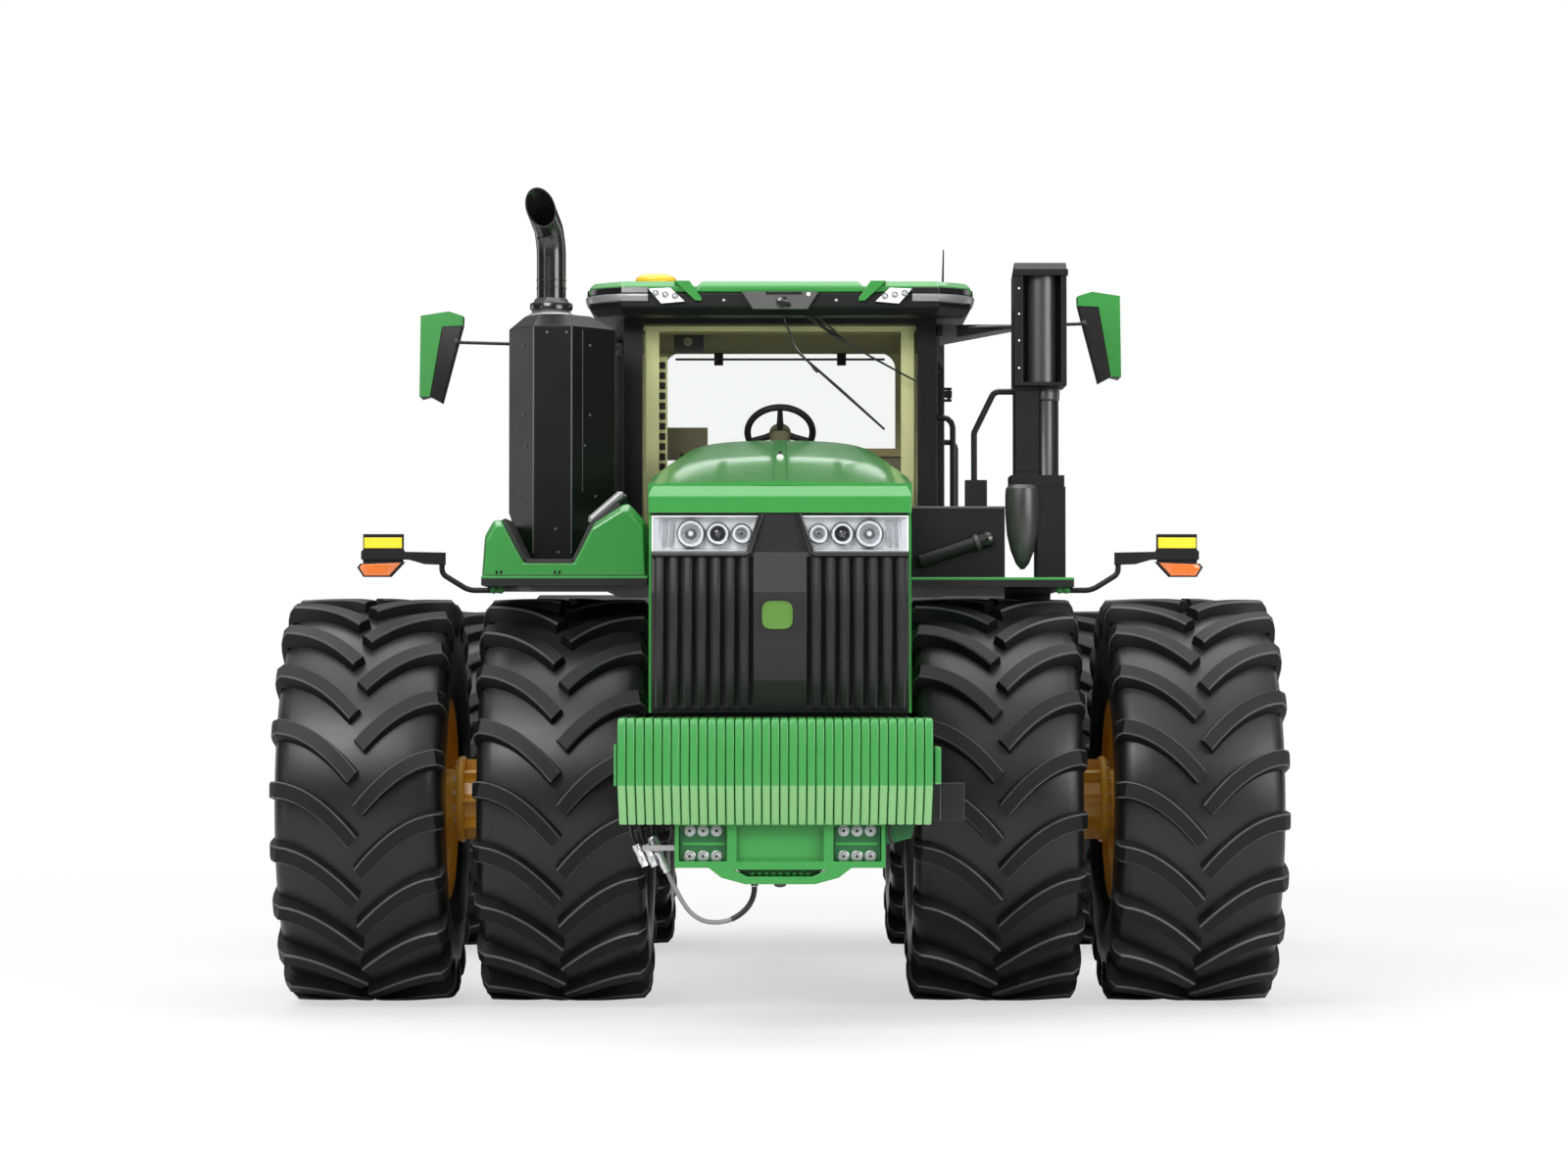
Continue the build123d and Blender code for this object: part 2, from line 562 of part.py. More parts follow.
with BuildPart() as hydraulic_couplers:
    block((-220, 220), (REAR_RAIL_BACK, REAR_RAIL_BACK + 70), (1020, 1290))
    for column in range(4):
        for row_z in (1090, 1210):
            x = -150 + 100 * column
            with BuildSketch(Plane(origin=(x, REAR_RAIL_BACK + 70, row_z), z_dir=(0, 1, 0))) as socket:
                RegularPolygon(28, 6)
            extrude(socket.sketch, amount=60)
save(hydraulic_couplers, "hydraulic_couplers")

with BuildPart() as tail_lamps:
    for side in BOTH:
        block((side * (TANK_HALF - 130), side * (TANK_HALF - 10)), (TANK_BACK, TANK_BACK + 40), (TANK_TOP - 280, TANK_TOP - 130))
save(tail_lamps, "tail_lamps")


# ------------------------------------------------------------------ engine, drive and front end
with BuildPart() as engine:
    block((-380, 380), (FRONT_AXLE - 1500, FRONT_AXLE + 320), (1310, 2330))
    for foot_y in (FRONT_AXLE - 1250, FRONT_AXLE + 60):
        block((-RAIL_INNER, RAIL_INNER), (foot_y, foot_y + 180), (1310, 1380))
save(engine, "engine")

with BuildPart() as transmission:
    block((-290, 290), (FRONT_AXLE + 640, BULKHEAD - 80), (1150, 1760))
    for foot_y in (FRONT_AXLE + 760, BULKHEAD - 380):
        block((-RAIL_INNER, RAIL_INNER), (foot_y, foot_y + 160), (1240, 1320))
save(transmission, "transmission")

BRACKET_BACK = RAIL_FRONT
BRACKET_FRONT = FRONT_AXLE - 2120
BRACKET_HALF = 485
BRACKET_BOTTOM = 790
TOW_BAR_BOTTOM = 715
TOW_BAR_BACK = BRACKET_FRONT + 160
BOLT_BOX = (245, 465)        # centreline to the inner and outer edges of each bolted recess
bracket_outline = [
    (BRACKET_BACK, RAIL_TOP), (BRACKET_FRONT + 60, RAIL_TOP), (BRACKET_FRONT, RAIL_TOP - 40),
    (BRACKET_FRONT, BRACKET_BOTTOM), (BRACKET_FRONT + 90, BRACKET_BOTTOM), (BRACKET_BACK, BRACKET_BOTTOM + 160)]
with BuildPart() as weight_bracket:
    side_plate(bracket_outline, -BRACKET_HALF, BRACKET_HALF)
    for side in BOTH:
        block((side * BOLT_BOX[0], side * BOLT_BOX[1]), (BRACKET_FRONT - 1, BRACKET_FRONT + 60),
              (BRACKET_BOTTOM + 30, BRACKET_BOTTOM + 195), mode=Mode.SUBTRACT)
    block((-200, 200), (BRACKET_FRONT - 1, BRACKET_FRONT + 40), (BRACKET_BOTTOM + 30, BRACKET_BOTTOM + 195),
          mode=Mode.SUBTRACT)
    front_plate([(-330, BRACKET_BOTTOM + 1), (-270, TOW_BAR_BOTTOM + 30), (-160, TOW_BAR_BOTTOM), (160, TOW_BAR_BOTTOM),
                 (270, TOW_BAR_BOTTOM + 30), (330, BRACKET_BOTTOM + 1)], BRACKET_FRONT, BRACKET_FRONT + 60)
    front_plate([(-215, BRACKET_BOTTOM - 8), (-150, TOW_BAR_BOTTOM + 35), (150, TOW_BAR_BOTTOM + 35),
                 (215, BRACKET_BOTTOM - 8)], BRACKET_FRONT - 1, BRACKET_FRONT + 61, mode=Mode.SUBTRACT)
    block((-160, 160), (BRACKET_FRONT + 60, TOW_BAR_BACK), (TOW_BAR_BOTTOM, TOW_BAR_BOTTOM + 25))
    block((BRACKET_HALF, 850), (BRACKET_FRONT + 20, BRACKET_FRONT + 35), (1005, 1180))
save(weight_bracket, "weight_bracket")

HOSE_RADIUS = 11
HOSE_Y = BRACKET_FRONT + 120
hose_route = [(-520, 765), (-455, 620), (-380, 545), (-300, 528), (-205, 548), (-118, 632), (-118, 700)]
hose_bends = []
for (x0, z0), (x1, z1), (x2, z2) in zip(hose_route, hose_route[1:], hose_route[2:]):
    run, next_run = hypot(x1 - x0, z1 - z0), hypot(x2 - x1, z2 - z1)
    hose_turn = acos(((x1 - x0) * (x2 - x1) + (z1 - z0) * (z2 - z1)) / (run * next_run))
    hose_bends.append(0.45 * min(run, next_run) / tan(hose_turn / 2))
with BuildPart() as front_hose:
    bent_bar([(x, HOSE_Y, z) for x, z in hose_route], HOSE_RADIUS, hose_bends, sides=8, steps=3)
save(front_hose, "front_hose")

hose_start = Vector(hose_route[0][0], HOSE_Y, hose_route[0][1])
hose_back = (hose_start - Vector(hose_route[1][0], HOSE_Y, hose_route[1][1])).normalized()
COUPLER_RADIUS = 19
coupler_bar = (BRACKET_BOTTOM + 75, BRACKET_BOTTOM + 100)   # Z of the bar that holds the couplers
with BuildPart() as hose_couplers:
    block((-BRACKET_HALF - 150, -BRACKET_HALF), (HOSE_Y - 30, HOSE_Y + 30), coupler_bar)
    bar(tuple(hose_start), tuple(hose_start + hose_back * 110), COUPLER_RADIUS, sides=8)
    for spacing in (45, 90):
        top = hose_start + hose_back * 110 - Vector(spacing, 0, 0)
        bar(tuple(top), tuple(top - hose_back * 80), COUPLER_RADIUS, sides=8)
    bar((hose_route[-1][0], HOSE_Y, hose_route[-1][1]), (hose_route[-1][0], HOSE_Y, TOW_BAR_BOTTOM), 16, sides=8)
save(hose_couplers, "hose_couplers")

WEIGHT_COUNT = 35
WEIGHT_PITCH = 41
WEIGHT_THICK = 37
WEIGHT_TOP = 1480
WEIGHT_SHIFT = -22           # the pack of weights hangs a little to the right
WEIGHT_PLATE = 10            # thickness of the plates at its ends
weight_face = FRONT_AXLE - FRONT_OVERHANG
weight_outline = [
    (weight_face, 1170), (weight_face, WEIGHT_TOP - 30), (weight_face + 30, WEIGHT_TOP),
    (BRACKET_BACK - 60, WEIGHT_TOP), (BRACKET_BACK - 60, RAIL_TOP), (BRACKET_FRONT + 60, RAIL_TOP),
    (BRACKET_FRONT, RAIL_TOP - 40), (BRACKET_FRONT, 990), (weight_face + 180, 990)]
with BuildPart() as front_weights:
    for index in range(WEIGHT_COUNT):
        x = WEIGHT_SHIFT + (index - (WEIGHT_COUNT - 1) / 2) * WEIGHT_PITCH
        side_plate(weight_outline, x - WEIGHT_THICK / 2, x + WEIGHT_THICK / 2)
    weights_half = WEIGHT_PITCH * WEIGHT_COUNT / 2
    side_plate([(weight_face + 60, 1200), (weight_face + 60, WEIGHT_TOP - 60), (BRACKET_FRONT, WEIGHT_TOP - 60),
                (BRACKET_FRONT, 1020), (weight_face + 200, 1020)],
               WEIGHT_SHIFT - weights_half + 10, WEIGHT_SHIFT + weights_half - 10)
    for side in BOTH:
        x = WEIGHT_SHIFT + side * (weights_half - 10)
        block((x, x + side * (WEIGHT_PLATE + 20)), (weight_face + 70, weight_face + 200), (1180, 1350))
save(front_weights, "front_weights")

LOWER_GRILLE_HALF = 600
with BuildPart() as lower_grille:
    front_plate([(-LOWER_GRILLE_HALF, HOOD_BOTTOM - 10), (LOWER_GRILLE_HALF, HOOD_BOTTOM - 10),
                 (LOWER_GRILLE_HALF, HOOD_BOTTOM - 40), (RAIL_OUTER, RAIL_TOP), (-RAIL_OUTER, RAIL_TOP),
                 (-LOWER_GRILLE_HALF, HOOD_BOTTOM - 40)], RAIL_FRONT, RAIL_FRONT + 90)
save(lower_grille, "lower_grille")

FIREWALL = FRONT_AXLE + 500
FIREWALL_TOP = 2745
hinge_y, hinge_z = HOOD_HINGE
HINGE_X = 300                # centreline to the middle of each hood ear
HINGE_EAR = 20
with BuildPart() as firewall:
    front_plate([(-575, DECK_BOTTOM - 600), (575, DECK_BOTTOM - 600), (575, 2480), (430, FIREWALL_TOP),
                 (-430, FIREWALL_TOP), (-575, 2480)], FIREWALL, FIREWALL + 40)
    for side in BOTH:
        block((side * RAIL_INNER, side * RAIL_OUTER), (FIREWALL, FIREWALL + 40), (RAIL_TOP, DECK_BOTTOM - 600))
        inner = HINGE_X + HINGE_EAR / 2 + RUNNING_GAP
        side_plate([(hinge_y - 22, hinge_z - 22), (hinge_y - 22, hinge_z + 22), (hinge_y + 22, hinge_z + 22),
                    (FIREWALL + 40, FIREWALL_TOP), (FIREWALL + 40, FIREWALL_TOP - 120), (FIREWALL, FIREWALL_TOP - 120)],
                   side * inner, side * (inner + 22))
        bar((side * inner, hinge_y, hinge_z), (side * (HINGE_X - HINGE_EAR / 2 - 8), hinge_y, hinge_z), HINGE_PIN)
save(firewall, "firewall")


# ------------------------------------------------------------------ hood
HOOD_HALF = 612              # half width at the nose
hood_sections = (            # Y, half width, shoulder Z, crease half width, crease Z, crown Z
    (HOOD_NOSE, HOOD_HALF, 2520, 592, 2562, 2572),
    (FRONT_AXLE - 800, HOOD_HALF - 4, 2590, 526, 2716, 2748),
    (HOOD_BACK, HOOD_HALF - 12, 2660, 452, 2868, 2912))
VENT = (FRONT_AXLE - 1560, FRONT_AXLE - 620)   # Y of the screened openings in the hood's sides
VENT_LOW = 1720
VENT_HIGH = (2190, 2290)     # at the front and the back
vent_outline = [(VENT[0], VENT_LOW), (VENT[1], VENT_LOW), (VENT[1] + 120, VENT_HIGH[1]), (VENT[0], VENT_HIGH[0])]


def hood_ring(section, wall=0, past=0):
    """One cross-section of the hood, drawn in by a wall and moved along by a step."""
    y, half, shoulder, crease_half, crease, crown = section
    right = [(half - wall, HOOD_BOTTOM - wall), (half - wall, shoulder - wall * 0.4),
             (crease_half - wall * 0.7, crease - wall)]
    points = right + [(0, crown - wall)] + [(-x, z) for x, z in reversed(right)]
    return [(x, y + past, z) for x, z in points]


with BuildPart() as hood_shell:
    add(panel_loft([hood_ring(section) for section in hood_sections]))
    inside = [hood_ring(section, HOOD_WALL) for section in hood_sections]
    add(panel_loft([hood_ring(hood_sections[0], HOOD_WALL, -1)] + inside[1:-1]
                   + [hood_ring(hood_sections[-1], HOOD_WALL, 1)]), mode=Mode.SUBTRACT)
    for side in BOTH:
        side_plate(vent_outline, side * (HOOD_HALF - 60), side * (HOOD_HALF + 1), mode=Mode.SUBTRACT)
        block((side * (HINGE_X - HINGE_EAR / 2), side * (HINGE_X + HINGE_EAR / 2)),
              (hinge_y - 24, hinge_y + 24), (hinge_z, 2874))
        bar((side * (HINGE_X - HINGE_EAR / 2), hinge_y, hinge_z), (side * (HINGE_X + HINGE_EAR / 2), hinge_y, hinge_z), 24)
        bar((side * (HINGE_X - HINGE_EAR), hinge_y, hinge_z), (side * (HINGE_X + HINGE_EAR), hinge_y, hinge_z),
            HINGE_PIN + BORE_GAP, mode=Mode.SUBTRACT)
save(hood_shell, "hood_shell")

SCREEN = 8                   # thickness of the vent screens
with BuildPart() as side_screens:
    ahead, behind = hood_sections[1], hood_sections[2]
    narrowing = (ahead[1] - behind[1]) / (behind[0] - ahead[0])
    screen_in = ahead[1] - narrowing * (VENT[1] + 150 - ahead[0]) - HOOD_WALL - SEAT_GAP
    for side in BOTH:
        side_plate([(VENT[0] - 30, VENT_LOW - 30), (VENT[1] + 30, VENT_LOW - 30), (VENT[1] + 150, VENT_HIGH[1] + 20),
                    (VENT[0] - 30, VENT_HIGH[0] + 20)], side * (screen_in - SCREEN), side * screen_in)
        for rib in range(6):
            rib_z = VENT_LOW + 60 + 76 * rib
            block((side * screen_in, side * (screen_in + 10)), (VENT[0] + 20, VENT[1] - 20), (rib_z, rib_z + 26))
save(side_screens, "side_screens")

GRILLE_TOP = 2250
GRILLE_HALF = 598
LAMP_TOP = 2430
LAMP_EDGE = 12               # lamps to the lip over them
LAMP_FOOT = 143              # centreline to the lamps' inner ends, at the bottom and the top
LAMP_HEAD = 92
LAMP_SEAM = 1
GRILLE_BACK = HOOD_NOSE + 80
SLOTS = 7                    # on each side of the middle panel
SLOT_START = 124             # centreline to the first slot
SLOT_PITCH = 66
SLOT_WIDE = 22
grille_profile = [           # Y, Z
    (HOOD_NOSE, HOOD_BOTTOM), (HOOD_NOSE - 52, HOOD_BOTTOM + 150), (HOOD_NOSE - 80, HOOD_BOTTOM + 370),
    (HOOD_NOSE - 70, HOOD_BOTTOM + 560), (HOOD_NOSE - 30, GRILLE_TOP), (GRILLE_BACK, GRILLE_TOP),
    (GRILLE_BACK, HOOD_BOTTOM)]
with BuildPart() as grille:
    side_plate(grille_profile, -GRILLE_HALF, GRILLE_HALF)
    for side in BOTH:
        for slot in range(SLOTS):
            x = SLOT_START + SLOT_PITCH * slot
            block((side * x, side * (x + SLOT_WIDE)), (HOOD_NOSE - 150, HOOD_NOSE + 30),
                  (HOOD_BOTTOM + 30, GRILLE_TOP - 25), mode=Mode.SUBTRACT)
    front_plate([(-LAMP_FOOT + LAMP_SEAM, GRILLE_TOP), (LAMP_FOOT - LAMP_SEAM, GRILLE_TOP),
                 (LAMP_HEAD - LAMP_SEAM, LAMP_TOP - LAMP_EDGE), (LAMP_HEAD - LAMP_SEAM, LAMP_TOP),
                 (LAMP_SEAM - LAMP_HEAD, LAMP_TOP), (LAMP_SEAM - LAMP_HEAD, LAMP_TOP - LAMP_EDGE)],
                HOOD_NOSE - 30, HOOD_NOSE + 60)
save(grille, "grille")

LAMP_FACE = HOOD_NOSE - 25
lenses = ((415, 60), (291, 54), (178, 42))     # centreline to each lens, its radius
lamp_middle = (GRILLE_TOP + LAMP_TOP - LAMP_EDGE) / 2
with BuildPart() as headlamps:
    for side in BOTH:
        outline = [(LAMP_FOOT, GRILLE_TOP), (GRILLE_HALF, GRILLE_TOP), (GRILLE_HALF, LAMP_TOP - LAMP_EDGE),
                   (LAMP_HEAD, LAMP_TOP - LAMP_EDGE)]
        front_plate(mirrored(outline, side), LAMP_FACE + 30, GRILLE_BACK)
        pocket = [(LAMP_FOOT + 14, GRILLE_TOP + 14), (GRILLE_HALF - 10, GRILLE_TOP + 14),
                  (GRILLE_HALF - 10, LAMP_TOP - LAMP_EDGE - 8), (LAMP_HEAD + 14, LAMP_TOP - LAMP_EDGE - 8)]
        front_plate(mirrored(outline, side), LAMP_FACE, LAMP_FACE + 30)
        front_plate(mirrored(pocket, side), LAMP_FACE - 1, LAMP_FACE + 30, mode=Mode.SUBTRACT)
        for across, lens_radius in lenses:
            bar((side * across, LAMP_FACE + 30, lamp_middle), (side * across, LAMP_FACE + 6, lamp_middle), lens_radius,
                sides=12)
save(headlamps, "headlamps")

LIP = 45                     # how far the green lip stands out over the lamps
nose_half, nose_shoulder, nose_crease_half, nose_crease, nose_crown = hood_sections[0][1:]
with BuildPart() as nose_panel:
    side_plate([(HOOD_NOSE, LAMP_TOP), (HOOD_NOSE - LIP, LAMP_TOP), (HOOD_NOSE - LIP, LAMP_TOP + 76),
                (HOOD_NOSE, nose_crown - HOOD_WALL)], -nose_half, nose_half)
    front_plate([(-nose_half, LAMP_TOP), (nose_half, LAMP_TOP), (nose_half, nose_shoulder),
                 (nose_crease_half, nose_crease), (0, nose_crown), (-nose_crease_half, nose_crease),
                 (-nose_half, nose_shoulder)], HOOD_NOSE - LIP, HOOD_NOSE, mode=Mode.INTERSECT)
save(nose_panel, "nose_panel")


# ------------------------------------------------------------------ decks and cowls
DECK_INNER = 660             # centreline to the side decks' inner edges, beside the hood
COWL_FRONT = FRONT_AXLE - 700
COWL_BACK = FRONT_AXLE + 700
deck_joint = FIREWALL + 60
with BuildPart() as cab_deck:
    block((-CAB_WIDEST_HALF, CAB_WIDEST_HALF), (deck_joint, CAB_BACK), (DECK_BOTTOM, DECK_TOP))
    block((-DECK_EDGE, -DECK_INNER), (COWL_FRONT, deck_joint), (DECK_BOTTOM, DECK_TOP))
    block((-DECK_EDGE, -DECK_INNER), (deck_joint, COWL_BACK), (DECK_BOTTOM, DECK_TOP))
    block((DECK_INNER, DECK_EDGE), (FRONT_AXLE - 400, deck_joint), (DECK_BOTTOM, DECK_TOP))
    block((CAB_WIDEST_HALF, DECK_EDGE), (deck_joint, DOOR_BACK - 20), (DECK_BOTTOM, DECK_TOP))
save(cab_deck, "cab_deck")

NOTCH_LOW = 2235
cowl_outline = [             # X, Z
    (-DECK_EDGE, DECK_TOP), (-DECK_EDGE + 15, 2370), (-DECK_EDGE + 60, 2450), (-DECK_EDGE + 100, 2450),
    (-1330, 2330), (-1279, NOTCH_LOW), (-1030, NOTCH_LOW), (-997, 2300), (-935, 2430), (-790, 2528), (-755, 2532),
    (-DECK_INNER - 12, 2440), (-DECK_INNER, DECK_TOP)]
COWL_SLOPE = 60              # how far the cowl's front slopes back, and how much it narrows there
cowl_middle = -(DECK_EDGE + DECK_INNER) / 2
cowl_front = [(cowl_middle + (x - cowl_middle) * 0.97, DECK_TOP + (z - DECK_TOP) * 0.9) for x, z in cowl_outline]
with BuildPart() as right_cowl:
    add(panel_loft([[(x, COWL_FRONT, z) for x, z in cowl_front],
                    [(x, COWL_FRONT + COWL_SLOPE, z) for x, z in cowl_outline],
                    [(x, COWL_BACK, z) for x, z in cowl_outline]]))
save(right_cowl, "right_cowl")

INTAKE = (1213, 1483)        # X of the air intake's screened head
BOX_TOP = 2540
with BuildPart() as battery_box:
    block((DECK_INNER + 20, INTAKE[0] - 50), (FRONT_AXLE, FRONT_AXLE + 480), (DECK_TOP, BOX_TOP))
    bar((DECK_INNER + 60, FRONT_AXLE - 15, DECK_TOP + 90), (1075, FRONT_AXLE - 15, DECK_TOP + 210), 32, sides=8)
    bar((1010, FRONT_AXLE - 15, DECK_TOP + 188), (1075, FRONT_AXLE - 15, DECK_TOP + 210), 42, sides=8)
save(battery_box, "battery_box")

EXHAUST_TOP = 3550
EXHAUST_CAP = 75             # height of the sloping cap
PIPE_RADIUS = 75
PIPE_WALL = 8
PIPE_X = -1202
PIPE_Y = FRONT_AXLE + 280
box_plan = [                 # X, Y from the front axle
    (-1413, 140), (-1270, -100), (-1074, -100), (-862, 140), (-862, 420), (-1074, 660), (-1270, 660), (-1413, 420)]
box_foot = [(-1395, 2470), (-1270, NOTCH_LOW), (-1045, NOTCH_LOW), (-940, 2440), (-862, 2520)]   # X, Z
cap_level = EXHAUST_TOP - EXHAUST_CAP
with BuildPart() as exhaust_box:
    plan_plate([(x, FRONT_AXLE + y) for x, y in box_plan], NOTCH_LOW, cap_level)
    front_plate([(-1413, cap_level), (-1413, 2520)] + box_foot + [(-862, cap_level)],
                FRONT_AXLE - 200, FRONT_AXLE + 800, mode=Mode.INTERSECT)
    cap = [[(x, FRONT_AXLE + y, cap_level) for x, y in box_plan],
           [(PIPE_X + (x - PIPE_X) * 0.62, PIPE_Y + (FRONT_AXLE + y - PIPE_Y) * 0.62, EXHAUST_TOP) for x, y in box_plan]]
    add(panel_loft(cap))
save(exhaust_box, "exhaust_box")

OPENING = 140                # how far the cut end of the pipe is ahead of its upright run
pipe_bend = 4010             # Z of the corner between its upright and leaning runs
pipe_route = [(PIPE_X, PIPE_Y, EXHAUST_TOP + 40), (PIPE_X, PIPE_Y, pipe_bend),
              (PIPE_X - 85, PIPE_Y - 245, pipe_bend + 205)]
with BuildPart() as exhaust_pipe:
    turned_post((PIPE_X, PIPE_Y), ((EXHAUST_TOP, 135), (EXHAUST_TOP + 45, 98), (EXHAUST_TOP + 46, 108),
                              (EXHAUST_TOP + 78, 108)), 12)
    bent_bar(pipe_route, PIPE_RADIUS, 170, sides=12, steps=4)
    bent_bar([(PIPE_X, PIPE_Y, pipe_bend - 160)] + pipe_route[1:], PIPE_RADIUS - PIPE_WALL, 170, sides=12, steps=4,
             mode=Mode.SUBTRACT)
    block((PIPE_X - 300, PIPE_X + 300), (PIPE_Y - 500, PIPE_Y - OPENING), (pipe_bend - 150, pipe_bend + 400),
          mode=Mode.SUBTRACT)
save(exhaust_pipe, "exhaust_pipe")

INTAKE_Y = FRONT_AXLE + 120
HEAD_BOTTOM = 3170
HEAD_TOP = 3814
DUCT_BOTTOM = 2690
head_front, head_back = INTAKE_Y - 145, INTAKE_Y + 145
with BuildPart() as air_intake:
    side_plate([(head_front, HEAD_BOTTOM), (head_front, HEAD_TOP - 40), (head_front + 50, HEAD_TOP), (head_back, HEAD_TOP - 60),
                (head_back, HEAD_BOTTOM)], *INTAKE)
    block((INTAKE[0] + 43, INTAKE[1] - 30), (head_front - 1, head_front + 110), (HEAD_BOTTOM + 20, HEAD_TOP - 64),
          mode=Mode.SUBTRACT)
    block((INTAKE[0] + 5, INTAKE[0] + 127), (INTAKE_Y - 90, INTAKE_Y + 110), (DUCT_BOTTOM, HEAD_BOTTOM))
    bar((1389, INTAKE_Y, DUCT_BOTTOM), (1389, INTAKE_Y, HEAD_BOTTOM), 62, sides=12)
    block((INTAKE[0] - 20, INTAKE[1] - 10), (INTAKE_Y - 105, INTAKE_Y + 120), (DUCT_BOTTOM - 40, DUCT_BOTTOM + 20))
    block((INTAKE[0] + 117, INTAKE[1] - 5), (INTAKE_Y - 110, INTAKE_Y + 140), (DECK_TOP, DUCT_BOTTOM - 40))
    front_plate([(INTAKE[0] - 20, DUCT_BOTTOM - 40), (INTAKE[0] - 31, 2450), (INTAKE[0] + 2, 2310), (INTAKE[0] + 42, 2222),
                 (INTAKE[0] + 85, 2310), (INTAKE[0] + 118, DUCT_BOTTOM - 40)], INTAKE_Y - 125, INTAKE_Y + 60)
save(air_intake, "air_intake")


# ------------------------------------------------------------------ cab
cab_plan = [(-CAB_FRONT_HALF, CAB_FRONT), (CAB_FRONT_HALF, CAB_FRONT), (CAB_WIDEST_HALF, CAB_WIDEST),
            (CAB_BACK_HALF, CAB_BACK), (-CAB_BACK_HALF, CAB_BACK), (-CAB_WIDEST_HALF, CAB_WIDEST)]
rear_slope = (CAB_WIDEST_HALF - CAB_BACK_HALF) / (CAB_BACK - CAB_WIDEST)


def cab_side(y):
    """Half the cab's width outside at one Y, ahead of its widest point."""
    share = (y - CAB_FRONT) / (CAB_WIDEST - CAB_FRONT)
    return CAB_FRONT_HALF + (CAB_WIDEST_HALF - CAB_FRONT_HALF) * share


WINDOW_TOP = CAB_TOP - 25
SIDE_SILL = 2460
hinge_x, hinge_line = DOOR_HINGE
HINGE_HEIGHTS = (2420, 3260)
KNUCKLE = 20                 # half its height
with BuildPart() as cab_frame:
    with BuildSketch(Plane.XY.offset(DECK_TOP)) as ring:
        with BuildLine():
            Polyline(*cab_plan, close=True)
        make_face()
        offset(amount=-CAB_WALL, mode=Mode.SUBTRACT)
    extrude(ring.sketch, amount=CAB_TOP - DECK_TOP)
    block((-740, 740), (CAB_FRONT - 1, CAB_FRONT + 90), (2330, WINDOW_TOP), mode=Mode.SUBTRACT)
    block((-690, 690), (CAB_BACK - 90, CAB_BACK + 1), (2460, WINDOW_TOP), mode=Mode.SUBTRACT)
    block((700, 1000), (DOOR_FRONT, DOOR_BACK), (DOOR_BOTTOM, DOOR_TOP), mode=Mode.SUBTRACT)
    block((-1000, -700), (DOOR_FRONT, DOOR_BACK - 40), (SIDE_SILL, WINDOW_TOP), mode=Mode.SUBTRACT)
    for side in BOTH:
        block((side * 760, side * 1000), (CAB_WIDEST + 70, CAB_BACK - 90), (SIDE_SILL, WINDOW_TOP), mode=Mode.SUBTRACT)
    for hinge_height in HINGE_HEIGHTS:
        for low, high in ((-KNUCKLE - 20, -KNUCKLE - RUNNING_GAP), (KNUCKLE + RUNNING_GAP, KNUCKLE + 20)):
            block((CAB_WIDEST_HALF - 20, hinge_x + 16), (hinge_line - 8, hinge_line + 16),
                  (hinge_height + low, hinge_height + high))
        upright((hinge_x, hinge_line, hinge_height), KNUCKLE + 20, DOOR_PIN)
save(cab_frame, "cab_frame")

leaf_front = DOOR_FRONT + DOOR_GAP
leaf_back = DOOR_BACK - DOOR_GAP
with BuildPart() as door_frame:
    plan_plate([(cab_side(leaf_front), leaf_front), (cab_side(leaf_back), leaf_back),
                (cab_side(leaf_back) - DOOR_LEAF, leaf_back), (cab_side(leaf_front) - DOOR_LEAF, leaf_front)],
               DOOR_BOTTOM + DOOR_GAP, DOOR_TOP - DOOR_GAP)
    block((700, 1000), (leaf_front + 70, leaf_back - 70), (DOOR_BOTTOM + 90, DOOR_TOP - 80), mode=Mode.SUBTRACT)
    for hinge_height in HINGE_HEIGHTS:
        low, high = hinge_height - KNUCKLE, hinge_height + KNUCKLE
        block((CAB_WIDEST_HALF - 25, hinge_x + 16), (leaf_back - 24, leaf_back - 2), (low, high))
        block((hinge_x - 16, hinge_x + 16), (leaf_back - 24, hinge_line), (low, high))
        upright((hinge_x, hinge_line, hinge_height), KNUCKLE, 16)
        upright((hinge_x, hinge_line, hinge_height), KNUCKLE + 30, DOOR_PIN + BORE_GAP, mode=Mode.SUBTRACT)
save(door_frame, "door_frame")


def side_pane(side, y0, y1, depth, z0, z1):
    """A flat pane that follows the cab's side, let in by a depth."""
    points = [(cab_side(y0) - depth, y0), (cab_side(y1) - depth, y1),
              (cab_side(y1) - depth - GLASS, y1), (cab_side(y0) - depth - GLASS, y0)]
    plan_plate(mirrored(points, side), z0, z1)


with BuildPart() as door_glass:
    side_pane(1, leaf_front + 70, leaf_back - 70, 18, DOOR_BOTTOM + 90, DOOR_TOP - 80)
save(door_glass, "door_glass")

with BuildPart() as cab_glass:
    block((-740, 740), (CAB_FRONT + 24, CAB_FRONT + 24 + GLASS), (2330, WINDOW_TOP))
    block((-690, 690), (CAB_BACK - 24 - GLASS, CAB_BACK - 24), (2460, WINDOW_TOP))
    side_pane(-1, DOOR_FRONT, DOOR_BACK - 40, 24, SIDE_SILL, WINDOW_TOP)
    for side in BOTH:
        pane_y0, pane_y1 = CAB_WIDEST + 70, CAB_BACK - 90
        x0 = CAB_WIDEST_HALF - rear_slope * 70 - 26
        x1 = CAB_WIDEST_HALF - rear_slope * (pane_y1 - CAB_WIDEST) - 26
        plan_plate(mirrored([(x0, pane_y0), (x1, pane_y1), (x1 - GLASS, pane_y1), (x0 - GLASS, pane_y0)], side),
                   SIDE_SILL, WINDOW_TOP)
save(cab_glass, "cab_glass")

